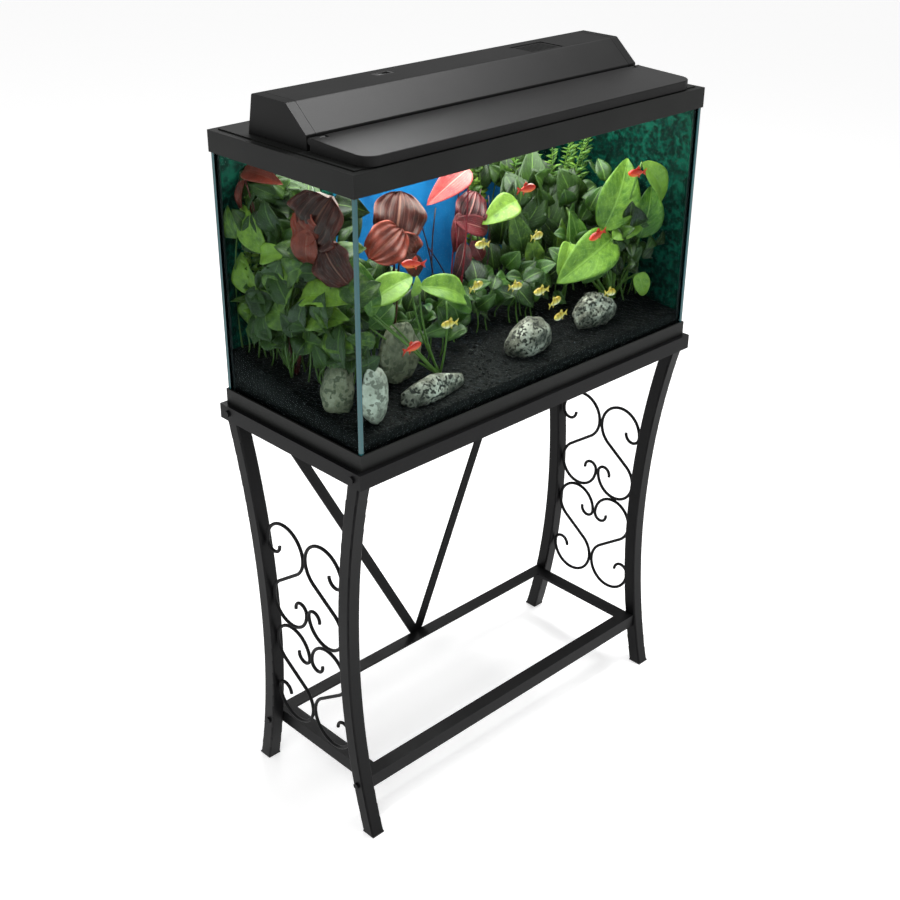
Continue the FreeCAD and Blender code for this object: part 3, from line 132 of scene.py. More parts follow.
def paintedSteel(name, base, worn):
    # satin black powder paint on steel: soft sheen, orange peel of about 1.5 mm, a little paler in random
    # patches
    mat, tree = newMaterial(name)
    coords = add(tree, "TexCoord").outputs["Object"]
    peel = add(tree, "TexNoise", {"Scale": 650.0, "Detail": 3.0}, {"Vector": coords})
    patches = add(tree, "TexNoise", {"Scale": 14.0, "Detail": 4.0}, {"Vector": coords})
    colour = add(tree, "ValToRGB", {"stops": [(0.3, base), (0.75, worn)]},
                 {"Fac": patches}).outputs["Color"]
    rough = add(tree, "ValToRGB", {"stops": [(0.3, 0.34), (0.8, 0.5)]}, {"Fac": patches}).outputs["Color"]
    bump = add(tree, "Bump", {"Strength": 0.12, "Distance": 0.0004}, {"Height": peel})
    shader = add(tree, "BsdfPrincipled", {"Specular IOR Level": 0.1},
                 {"Base Color": colour, "Roughness": rough, "Normal": bump})
    add(tree, "OutputMaterial", links={"Surface": shader})
    return mat


def mouldedPlastic(name, base, light, roughness, topRoughness=0, grain=0.0006, strength=0.25):
    # injection-moulded polystyrene with a fine leathered grain: broad soft highlight, tiny pits; level
    # faces can be more matt
    mat, tree = newMaterial(name)
    coords = add(tree, "TexCoord").outputs["Object"]
    pits = add(tree, "TexVoronoi", {"Scale": 1 / (grain * 2.2)}, {"Vector": coords})
    mottle = add(tree, "TexNoise", {"Scale": 9.0, "Detail": 5.0}, {"Vector": coords})
    colour = add(tree, "ValToRGB", {"stops": [(0.35, base), (0.7, light)]},
                 {"Fac": mottle}).outputs["Color"]
    bump = add(tree, "Bump", {"Strength": strength, "Distance": grain * 0.5}, {"Height": pits})
    normal = add(tree, "NewGeometry").outputs["Normal"]
    split = add(tree, "SeparateXYZ", links={"Vector": normal})
    matt = add(tree, "MapRange", {"From Min": 0.93, "From Max": 0.99, "To Min": roughness,
                                  "To Max": topRoughness or roughness}, {"Value": split.outputs["Z"]})
    shader = add(tree, "BsdfPrincipled", {"Specular IOR Level": 0.15},
                 {"Base Color": colour, "Normal": bump, "Roughness": matt})
    add(tree, "OutputMaterial", links={"Surface": shader})
    return mat


def floatGlass(name, edgeColour, tint):
    # clear float glass: see-through faces with a faint mirror, and sea-green cut edges
    mat, tree = newMaterial(name)
    fresnel = add(tree, "Fresnel", {"IOR": 1.33})
    inside = add(tree, "NewGeometry").outputs["Backfacing"]
    outside = add(tree, "Math", {"operation": "SUBTRACT", 0: 1.0}, {1: inside})
    mirror = add(tree, "Math", {"operation": "MULTIPLY"}, {0: fresnel, 1: outside})
    clear = add(tree, "BsdfTransparent", {"Color": linear(tint)})
    gloss = add(tree, "BsdfGlossy", {"Roughness": 0.03, "Color": linear("#303535")})
    face = add(tree, "MixShader", links={0: mirror, 1: clear, 2: gloss})
    edge = add(tree, "BsdfPrincipled", {"Base Color": linear(edgeColour), "Roughness": 0.15, "IOR": 1.52})
    coords = add(tree, "TexCoord").outputs["Object"]
    split = add(tree, "SeparateXYZ", links={"Vector": coords})
    masks = []
    for axis in ("X", "Y"):
        size = add(tree, "Math", {"operation": "ABSOLUTE"}, {0: split.outputs[axis]})
        limit = glassEdge[axis]
        masks.append(add(tree, "Math", {"operation": "GREATER_THAN", 1: limit}, {0: size}).outputs[0])
    corner = add(tree, "Math", {"operation": "MULTIPLY"}, {0: masks[0], 1: masks[1]})
    shader = add(tree, "MixShader", links={0: corner, 1: face, 2: edge})
    add(tree, "OutputMaterial", links={"Surface": shader})
    return mat


def plainMaterial(name, colour, roughness, metallic=0.0, scale=300.0, strength=0.1):
    # a plain moulded, rolled or coated finish with a faint uneven surface
    mat, tree = newMaterial(name)
    coords = add(tree, "TexCoord").outputs["Object"]
    noise = add(tree, "TexNoise", {"Scale": scale, "Detail": 3.0}, {"Vector": coords})
    darker = [c * 0.8 for c in linear(colour)[:3]] + [1]
    mixer = add(tree, "Mix", {"data_type": "RGBA", 6: darker, 7: linear(colour)}, {0: noise})
    bump = add(tree, "Bump", {"Strength": strength, "Distance": 0.0005}, {"Height": noise})
    shader = add(tree, "BsdfPrincipled", {"Roughness": roughness, "Metallic": metallic},
                 {"Base Color": mixer.outputs[2], "Normal": bump})
    add(tree, "OutputMaterial", links={"Surface": shader})
    return mat


cutEdge = 0.0052  # a pane's thickness plus a hair: the strip at each corner that shows the green cut
glassEdge = {"X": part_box("glass_front")[1][0] - cutEdge, "Y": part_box("glass_back")[1][1] - cutEdge}

steel = paintedSteel("satinBlackPaint", "#0b0b0c", "#121213")
boltPaint = paintedSteel("boltBlackOxide", "#0c0c0d", "#161617")
framePlastic = mouldedPlastic("blackFramePolystyrene", "#111211", "#181918", 0.45, 0.7)
lidPlastic = mouldedPlastic("blackLidPolystyrene", "#101010", "#161616", 0.42)
coverPlastic = mouldedPlastic("blackCoverPolystyrene", "#101010", "#161616", 0.42, 0.85)
# the end caps are the cover's black polystyrene painted darker, a painted shade on the ends turned from the
# light
shadedEndPlastic = mouldedPlastic("blackEndPolystyreneShadeDarkened", "#0a0a0a", "#101010", 0.42, 0.85)
glass = floatGlass("floatGlass", "#155055", "#f2faf9")
nodeMaterials = {
    "top_frame_bolts": boltPaint, "lower_frame_bolts": boltPaint,
    "foot_plugs": plainMaterial("blackPolythenePlug", "#161616", 0.6),
    "silicone_seams": plainMaterial("clearBlackSilicone", "#1b2122", 0.3),
    "bottom_frame": framePlastic, "top_rim": framePlastic,
    "hood_base": framePlastic, "light_cover": coverPlastic, "front_lid": lidPlastic,
    "cover_end_left": shadedEndPlastic, "cover_end_right": shadedEndPlastic,
    "hinge_rod": plainMaterial("drawnSteelRod", "#8d8d8d", 0.3, 1.0),
    "splash_guard": glass,
    "lamp_tube": plainMaterial("phosphorCoatedGlass", "#eeeee8", 0.25),
    "lamp_sockets": plainMaterial("whitePbtSocket", "#d8d8d0", 0.45),
    "reflector": plainMaterial("brightRolledAluminium", "#d0d0d0", 0.25, 1.0),
    "ballast": plainMaterial("greyLacqueredBallast", "#7c7e80", 0.4),
    "switch_frame": plainMaterial("mattBlackNylon", "#0e0e0e", 0.8),
    "rocker_switch": plainMaterial("satinBlackRocker", "#161616", 0.6),
    "cord_gland": plainMaterial("blackPvcGland", "#161616", 0.55),
}
for name in nodes:
    if name.startswith("glass_"):
        nodeMaterials[name] = glass
    elif name.startswith(("leg_", "top_rail", "lower_rail", "back_brace", "scroll_")):
        nodeMaterials[name] = steel


filmLook = {
    "blueFrom": -0.12, "blueTo": 0.23, "blend": 0.03, "leafScale": 110.0, "paintedGlow": 0.04, "sway": 0.16,
    "water": [(0.3, "#16508a"), (0.65, "#2472b4")],
    "foliage": [(0.62, "#010a08"), (0.84, "#021c17"), (0.94, "#04332a"), (1.0, "#0f4c3e")],
    "backing": "#3c4042",
}


def printedSheet():
    # glossy printed film: a band of clear blue water between dark teal foliage, plain grey on its outer
    # face; the printed face also glows faintly in its own colours, a painted light
    mat, tree = newMaterial("printedBackgroundFilm")
    geometry = add(tree, "NewGeometry")
    coords = add(tree, "TexCoord").outputs["Object"]
    split = add(tree, "SeparateXYZ", links={"Vector": coords})
    blotch = add(tree, "TexNoise", {"Scale": 16.0, "Detail": 5.0, "Roughness": 0.6}, {"Vector": coords})
    blue = add(tree, "ValToRGB", {"stops": filmLook["water"]}, {"Fac": blotch})
    leaves = add(tree, "TexVoronoi", {"Scale": filmLook["leafScale"], "Randomness": 1.0},
                 {"Vector": coords})
    sprig = add(tree, "TexNoise", {"Scale": 90.0, "Detail": 8.0, "Roughness": 0.75,
                                   "Distortion": 1.6}, {"Vector": coords})
    depth = add(tree, "Math", {"operation": "MULTIPLY_ADD", 1: 0.3}, {0: leaves, 2: sprig})
    deep = add(tree, "Math", {"operation": "MULTIPLY_ADD", 1: 0.5}, {0: blotch, 2: depth})
    foliage = add(tree, "ValToRGB", {"stops": filmLook["foliage"]}, {"Fac": deep})
    sway = add(tree, "Math", {"operation": "MULTIPLY_ADD", 1: filmLook["sway"]},
               {0: blotch, 2: split.outputs["X"]})
    middle = (filmLook["blueFrom"] + filmLook["blueTo"] + filmLook["sway"]) / 2
    fromMiddle = add(tree, "Math", {"operation": "SUBTRACT", 1: middle}, {0: sway})
    away = add(tree, "Math", {"operation": "ABSOLUTE"}, {0: fromMiddle})
    halfBand = (filmLook["blueTo"] - filmLook["blueFrom"]) / 2
    mask = add(tree, "MapRange", {"From Min": halfBand, "From Max": halfBand + filmLook["blend"]},
               {"Value": away})
    picture = add(tree, "Mix", {"data_type": "RGBA"}, {0: mask, 6: blue, 7: foliage})
    facing = add(tree, "SeparateXYZ", links={"Vector": geometry.outputs["True Normal"]})
    outward = add(tree, "Math", {"operation": "MAXIMUM"}, {0: facing.outputs["X"], 1: facing.outputs["Y"]})
    back = add(tree, "Math", {"operation": "GREATER_THAN", 1: 0.5}, {0: outward})
    # the printed face's faint emission is painted light: the film glows though it is no lamp
    printed = add(tree, "BsdfPrincipled",
                  {"Roughness": 0.5, "Specular IOR Level": 0.2, "Emission Strength": filmLook["paintedGlow"]},
                  {"Base Color": picture.outputs[2], "Emission Color": picture.outputs[2]})
    backing = add(tree, "BsdfPrincipled", {"Base Color": linear(filmLook["backing"]), "Roughness": 0.55})
    shader = add(tree, "MixShader", links={0: back, 1: printed, 2: backing})
    add(tree, "OutputMaterial", links={"Surface": shader})
    return mat


nodeMaterials["background_sheet"] = printedSheet()
for name, mat in nodeMaterials.items():
    for place in nodes[name].material_slots:
        place.material = mat
print("frame materials done")


gravelSizes = {"grain": 0.0032, "ripple": 0.004, "columns": 300, "rows": 130, "pebbles": 2600,
               "gap": 0.0004, "lift": 0.0003, "frontDepth": 0.0337}
gap = gravelSizes["gap"]
innerLow = [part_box("glass_left")[1][0] + gap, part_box("glass_front")[1][1] + gap]
innerHigh = [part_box("glass_right")[0][0] - gap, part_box("glass_back")[0][1] - gap]
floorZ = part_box("glass_bottom")[1][2] + gravelSizes["lift"]
gravelFront, gravelBack = floorZ + gravelSizes["frontDepth"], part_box("gravel_bed")[1][2]


def gravelSurface(x, y):
    # plane that rises from front to back, plus low waves that die out at the front and back panes
    share = (y - innerLow[1]) / (innerHigh[1] - innerLow[1])
    z = gravelFront + share * (gravelBack - gravelFront)
    points = np.stack([x, y, 0 * x], -1)
    wave = smoothNoise(points, 3, 0.11) * gravelSizes["ripple"]
    return z - 0.004 + wave * np.sin(np.clip(share, 0, 1) * math.pi)


def gravelMaterial():
    # black glazed aquarium gravel: 2 to 4 mm grains, most near black, some grey, small wet glints
    mat, tree = newMaterial("blackGlazedGravel")
    coords = add(tree, "TexCoord").outputs["Object"]
    cells = add(tree, "TexVoronoi", {"Scale": 1 / gravelSizes["grain"]}, {"Vector": coords})
    colour = add(tree, "ValToRGB", {"stops": [(0.0, "#010102"), (0.6, "#060607"), (0.85, "#121213"),
                                              (1.0, "#3c3c3e")]}, {"Fac": cells.outputs["Color"]})
    bump = add(tree, "Bump", {"Strength": 1.0, "Distance": 0.0014, "invert": True}, {"Height": cells})
    shader = add(tree, "BsdfPrincipled", {"Roughness": 0.5, "IOR": 1.4, "Specular IOR Level": 0.13},
                 {"Base Color": colour, "Normal": bump})
    add(tree, "OutputMaterial", links={"Surface": shader})
    return mat


def buildGravel(mat):
    n, m = gravelSizes["columns"], gravelSizes["rows"]
    x, y = np.meshgrid(np.linspace(innerLow[0], innerHigh[0], n), np.linspace(innerLow[1], innerHigh[1], m))
    z = gravelSurface(x, y) + smoothNoise(np.stack([x, y, 0 * x], -1), 8, 0.008) * 0.0009
    top = np.stack([x, y, z], -1).reshape(-1, 3)
    faces = gridFaces(m, n)
    rim = np.concatenate([np.arange(n), np.arange(1, m) * n + n - 1,
                          (m - 1) * n + np.arange(n - 2, -1, -1), np.arange(m - 2, 0, -1) * n])
    skirt = top[rim].copy()
    skirt[:, 2] = floorZ
    below = len(top) + np.arange(len(rim))
    faces += np.stack([below, np.roll(below, -1), np.roll(rim, -1), rim], -1).tolist()
    faces.append(below[::-1].tolist())
    return meshPiece("gravelBed", np.concatenate([top, skirt]), faces, mat, "tank",
                     replaces=["gravel_bed"])


def buildGrains(mat):
    # loose grains: a squashed six-sided lump repeated over the surface, each turned and scaled
    rng = np.random.default_rng(11)
    count = gravelSizes["pebbles"]
    ring = np.linspace(0, tau, 6, endpoint=False)
    lump = [(0, 0, -1)] + [(math.cos(a), math.sin(a), -0.35) for a in ring]
    lump += [(0.75 * math.cos(a + 0.5), 0.75 * math.sin(a + 0.5), 0.6) for a in ring] + [(0, 0, 1)]
    lump = np.array(lump)
    faces = [[0, 1 + (i + 1) % 6, 1 + i] for i in range(6)]
    faces += [[1 + i, 1 + (i + 1) % 6, 7 + i] for i in range(6)]
    faces += [[1 + (i + 1) % 6, 7 + (i + 1) % 6, 7 + i] for i in range(6)]
    faces += [[7 + i, 7 + (i + 1) % 6, 13] for i in range(6)]
    x = rng.uniform(innerLow[0] + 0.004, innerHigh[0] - 0.004, count)
    y = innerLow[1] + 0.003 + (innerHigh[1] - innerLow[1] - 0.006) * rng.random(count) ** 1.3
    size = rng.uniform(0.0011, 0.0021, count)
    turn, tip = rng.uniform(0, tau, (2, count))
    scale = rng.uniform(0.7, 1.15, (count, 1, 3)) * size[:, None, None]
    local = lump[None] * scale * np.array([1, 1, 0.75])
    c, s = np.cos(turn)[:, None], np.sin(turn)[:, None]
    px = local[..., 0] * c - local[..., 1] * s
    py = local[..., 0] * s + local[..., 1] * c
    pz = local[..., 2] + local[..., 0] * np.sin(tip)[:, None] * 0.3
    z = gravelSurface(x, y)
    points = np.stack([px + x[:, None], py + y[:, None], pz + z[:, None] + 0.0006], -1)
    base = np.array(faces)
    allFaces = (base[None] + (np.arange(count) * len(lump))[:, None, None]).reshape(-1, 3)
    return meshPiece("looseGrains", points, allFaces.tolist(), mat, "tank", smooth=False)


gravelMat = gravelMaterial()
buildGravel(gravelMat)
buildGrains(gravelMat)
print("gravel done")


stoneShapes = {
    "standing_slab": {"mat": "slab", "seed": 4, "rough": 0.10, "pinch": 0.35, "facets": 0.2},
    "front_left_stone": {"mat": "pale", "seed": 9, "rough": 0.09, "pinch": 0.2, "facets": 0.2},
    "low_stone": {"mat": "speckled", "seed": 15, "rough": 0.10, "pinch": 0.1, "facets": 0.25},
    "round_stone": {"mat": "speckled", "seed": 22, "rough": 0.09, "pinch": 0.05, "facets": 0.2},
    "right_stone": {"mat": "speckled", "seed": 31, "rough": 0.16, "pinch": 0.1, "facets": 0.3},
    "side_stone": {"mat": "slab", "seed": 37, "rough": 0.10, "pinch": 0.15, "facets": 0.2},
}


def stoneMaterial(name, stops, spots, spotScale):
    # weathered granite under water: mottled body, mineral spots of 2 to 6 mm, rough crust
    mat, tree = newMaterial(name)
    coords = add(tree, "TexCoord").outputs["Object"]
    body = add(tree, "TexNoise", {"Scale": 34.0, "Detail": 8.0, "Roughness": 0.65}, {"Vector": coords})
    grains = add(tree, "TexVoronoi", {"Scale": spotScale}, {"Vector": coords})
    crust = add(tree, "TexNoise", {"Scale": 240.0, "Detail": 6.0, "Roughness": 0.7}, {"Vector": coords})
    colour = add(tree, "ValToRGB", {"stops": stops}, {"Fac": body}).outputs["Color"]
    split = add(tree, "SeparateColor", links={"Color": grains.outputs["Color"]})
    mask = add(tree, "ValToRGB", {"stops": [(0.62, 0.0), (0.72, 1.0)]},
               {"Fac": split.outputs["Red"]}).outputs["Color"]
    mixed = add(tree, "Mix", {"data_type": "RGBA", 7: linear(spots)}, {0: mask, 6: colour})
    height = add(tree, "Math", {"operation": "ADD"}, {0: body, 1: crust})
    bump = add(tree, "Bump", {"Strength": 0.7, "Distance": 0.002}, {"Height": height})
    shader = add(tree, "BsdfPrincipled", {"Roughness": 0.75},
                 {"Base Color": mixed.outputs[2], "Normal": bump})
    add(tree, "OutputMaterial", links={"Surface": shader})
    return mat


def buildStone(name, shape, mat):
    # ellipsoid whose radius is pushed by soft noise at two sizes and flattened into a few facets
    lo, hi = np.array(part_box(name)[0]), np.array(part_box(name)[1])
    centre, half = (lo + hi) / 2, (hi - lo) / 2
    rows, columns = 48, 72
    v = np.linspace(0, math.pi, rows)[:, None]
    u = np.linspace(0, tau, columns, endpoint=False)[None]
    unit = np.stack([np.sin(v) * np.cos(u), np.sin(v) * np.sin(u), np.cos(v) + 0 * u], -1)
    radius = 1 + shape["rough"] * smoothNoise(unit, shape["seed"], 1.7)
    radius += shape["rough"] * 0.4 * smoothNoise(unit, shape["seed"] + 1, 0.6)
    rng = np.random.default_rng(shape["seed"])
    for _ in range(7):
        normal = rng.normal(size=3)
        normal /= np.linalg.norm(normal)
        reach = (unit @ normal) * radius
        over = np.maximum(reach - 0.82, 0)
        radius -= over * shape["facets"] * 3
    narrow = 1 - shape["pinch"] * np.clip(unit[..., 2:], 0, 1)
    points = unit * radius[..., None] * np.concatenate([narrow, narrow, np.ones_like(narrow)], -1)
    points = np.clip(points, -1.04, 1.04) * half + centre
    ends = np.array([points[0].mean(0), points[-1].mean(0)])
    verts = np.concatenate([points[1:-1].reshape(-1, 3), ends])
    faces = [q[::-1] for q in gridFaces(rows - 2, columns, closed=True)]
    i = np.arange(columns)
    j, top, low = (i + 1) % columns, 0 * i + len(verts) - 2, (rows - 3) * columns
    faces += np.stack([top, i, j, top + 1, low + j, low + i], -1).reshape(-1, 3).tolist()
    return meshPiece(name + "Rock", verts, faces, mat, "tank", replaces=[name])


stoneMats = {
    "slab": stoneMaterial("mossySlate", [(0.3, "#4a4a3e"), (0.5, "#78765f"), (0.7, "#9c9884")],
                          "#565744", 160.0),
    "pale": stoneMaterial("paleGranite", [(0.3, "#7b7a70"), (0.5, "#b3b0a3"), (0.7, "#dad7cc")],
                          "#77756a", 190.0),
    "speckled": stoneMaterial("speckledGranite", [(0.34, "#35322b"), (0.48, "#716d62"), (0.64, "#c4c0b4")],
                              "#25221c", 260.0),
}
for name, shape in stoneShapes.items():
    buildStone(name, shape, stoneMats[shape["mat"]])
print("stones done")


def leafMaterial(name, deep, mid, pale, vein, fan=False):
    # living leaf: waxy gloss, paler veins, darker towards the stalk, and a faint painted glow of its own
    # colour standing in for light coming through
    mat, tree = newMaterial(name)
    across = add(tree, "Attribute", {"attribute_name": "across"}).outputs["Fac"]
    along = add(tree, "Attribute", {"attribute_name": "along"}).outputs["Fac"]
    tone = add(tree, "Attribute", {"attribute_name": "tone"}).outputs["Fac"]
    coords = add(tree, "TexCoord").outputs["Object"]
    blotch = add(tree, "TexNoise", {"Scale": 75.0, "Detail": 7.0, "Roughness": 0.7}, {"Vector": coords})
    # the per-leaf tone darkens or lightens the leaf: partly its own colour, partly painted shade on lower
    # and deeper leaves
    share = add(tree, "Math", {"operation": "MULTIPLY", 1: 0.55}, {0: tone})
    sum1 = add(tree, "Math", {"operation": "MULTIPLY_ADD", 1: 0.75}, {0: blotch, 2: share})
    colour = add(tree, "ValToRGB", {"stops": [(0.2, deep), (0.6, mid), (0.96, pale)]},
                 {"Fac": sum1}).outputs["Color"]
    rib = add(tree, "Math", {"operation": "ABSOLUTE"}, {0: across})
    # side veins slant off the midrib, or fan out from the stalk
    slant = add(tree, "Math", {"operation": "MULTIPLY_ADD", 1: 0.62 if fan else -0.45, 2: 0.0}, {0: rib})
    if not fan:
        tree.links.new(along, slant.inputs[2])
    wave = add(tree, "Math", {"operation": "MULTIPLY", 1: 9 * tau}, {0: slant})
    lines = add(tree, "Math", {"operation": "COSINE"}, {0: wave})
    side = add(tree, "ValToRGB", {"stops": [(0.90, 0.0), (0.99, 0.22)]}, {"Fac": lines}).outputs["Color"]
    middle = add(tree, "ValToRGB", {"stops": [(0.02, 0.4), (0.06, 0.0)]}, {"Fac": rib}).outputs["Color"]
    veins = add(tree, "Math", {"operation": "MAXIMUM"}, {0: side, 1: middle})
    mixed = add(tree, "Mix", {"data_type": "RGBA", 7: linear(vein)}, {0: veins, 6: colour})
    bump = add(tree, "Bump", {"Strength": 0.35, "Distance": 0.0015}, {"Height": veins})
    # the faint emission is painted light: the leaf glows a little though it is no lamp
    shader = add(tree, "BsdfPrincipled",
                 {"Roughness": 0.45, "Specular IOR Level": 0.35, "Emission Strength": 0.05},
                 {"Base Color": mixed.outputs[2], "Normal": bump, "Emission Color": mixed.outputs[2]})
    add(tree, "OutputMaterial", links={"Surface": shader})
    return mat


def stemCurve(start, end, bow, count=10):
    # from start to end, pushed sideways by bow times a half sine wave
    t = np.linspace(0, 1, count)[:, None]
    return start + (end - start) * t + bow * np.sin(t * math.pi)


def tube(path, radii, sides=6):
    # circle of the given radius carried along a path, with closed ends
    path = np.asarray(path)
    ahead = np.gradient(path, axis=0)
    ahead /= np.linalg.norm(ahead, axis=1, keepdims=True)
    helper = np.where(np.abs(ahead[:, 2:]) > 0.9, np.array([[1.0, 0, 0]]), np.array([[0, 0, 1.0]]))
    first = np.cross(ahead, helper)
    first /= np.linalg.norm(first, axis=1, keepdims=True)
    second = np.cross(ahead, first)
    angle = np.linspace(0, tau, sides, endpoint=False)
    ring = first[:, None] * np.cos(angle)[None, :, None] + second[:, None] * np.sin(angle)[None, :, None]
    points = path[:, None] + ring * np.asarray(radii).reshape(-1, 1, 1)
    faces = gridFaces(len(path), sides, closed=True)
    faces.append(list(range(sides))[::-1])
    faces.append([(len(path) - 1) * sides + i for i in range(sides)])
    return points, faces


leafForms = {  # arch of the midrib, droop of the tip, fold to each side, ruffled edge, pleats, paler edge
    "oval": {"arch": 0.12, "droop": 0.10, "fold": 0.30, "ruffle": 0.02, "pleat": 0.0, "edge": 0.0},
    "heart": {"arch": 0.08, "droop": 0.06, "fold": 0.28, "ruffle": 0.012, "pleat": 0.0, "edge": 0.0},
    "round": {"arch": 0.10, "droop": 0.16, "fold": 0.10, "ruffle": 0.07, "pleat": 0.022, "edge": 0.45},
}


leafThickness = 0.0004


def blade(base, tip, width, normal, kind, rows=16, columns=9, tone=0.5, seed=0):
    # leaf on a grid of t along the midrib and s across it: half width = outline(t), height = arch sin(pi t)
    # - droop t^2 along, plus fold |s|, ruffle at the edge and pleats; a second sheet below closes it
    form = leafForms[kind]
    base, tip, normal = (np.asarray(p, float) for p in (base, tip, normal))
    along = tip - base
    length = np.linalg.norm(along)
    along /= length
    side = np.cross(along, normal)
    side /= max(np.linalg.norm(side), 1e-9)
    up = np.cross(side, along)
    t = np.linspace(0, 1, rows)[:, None]
    s = np.linspace(-1, 1, columns)[None]
    half = outlines[kind](t) * width / 2
    phase = np.random.default_rng(seed).uniform(0, tau)
    arch = length * (form["arch"] * np.sin(t * math.pi) - form["droop"] * t ** 2)
    lift = form["fold"] * half * np.abs(s) + form["ruffle"] * width * np.abs(s) ** 1.5 * np.sin(
        t * 13 + s * 2.2 + phase) + form["pleat"] * width * np.cos(s * 17 + phase)
    points = (base + along * (t * length)[..., None] + side * (s * half)[..., None]
              + up * (arch + lift)[..., None])
    under = points - up * leafThickness
    n = rows * columns
    faces = gridFaces(rows, columns)
    faces += [[i + n for i in q][::-1] for q in faces]
    index = np.arange(n).reshape(rows, columns)
    loop = np.concatenate([index[0], index[1:, -1], index[-1, -2::-1], index[-2:0:-1, 0]])
    after = np.roll(loop, -1)
    faces += np.stack([after, loop, loop + n, after + n], -1).tolist()
    both = np.concatenate([points.reshape(-1, 3), under.reshape(-1, 3)])
    spread = np.broadcast_to(s, (rows, columns)).reshape(-1)
    run = np.broadcast_to(t, (rows, columns)).reshape(-1)
    shade = tone + form["edge"] * (np.maximum(np.abs(spread), run) ** 4 - 0.3)
    return both, faces, {"across": np.tile(spread, 2), "along": np.tile(run, 2), "tone": np.tile(shade, 2)}


def oval(t):
    # pointed oval, widest just before the middle
    return np.clip(np.sin(np.clip(t, 0, 1) ** 0.8 * math.pi), 0.0, 1) ** 0.75 + 0.015


def heart(t):
    # blunt at the stalk, pointed at the tip
    return np.clip((1 - t) ** 0.62 * (t + 0.012) ** 0.28 * 1.35, 0, 1) + 0.01


def disc(t):
    # nearly round
    return np.sqrt(np.clip(1 - (2 * t - 1) ** 2, 0, 1)) + 0.01


outlines = {"oval": oval, "heart": heart, "round": disc}


def plainStem(count, tone):
    # leaf attributes for a stem's points: off the veins, one tone
    return {"across": np.full(count, 0.5), "along": np.zeros(count), "tone": np.full(count, tone)}


def withStem(root, leafParts, base, radius, tone, bow=(0, 0, 0)):
    path = stemCurve(np.asarray(root, float), np.asarray(base, float), np.asarray(bow, float))
    points, faces = tube(path, np.linspace(radius * 1.3, radius, len(path)))
    n = points.reshape(-1, 3).shape[0]
    leafParts.append((points, faces, plainStem(n, tone)))


def mm(*values):
    return np.array(values, float) / 1000


leafMats = {
    "red_leaf": leafMaterial("redLotusLeaf", "#120605", "#431410", "#8c392c", "#a06a5a", True),
    "pink_leaf": leafMaterial("pinkLotusLeaf", "#1c0a10", "#6c1822", "#cc4a44", "#d9908a", True),
    "green_leaf": leafMaterial("deepGreenLeaf", "#040a03", "#2b4214", "#7d9a34", "#70903f"),
    "light_green_leaf": leafMaterial("brightGreenLeaf", "#091705", "#365a19", "#7f9f3a", "#8fae58"),
}
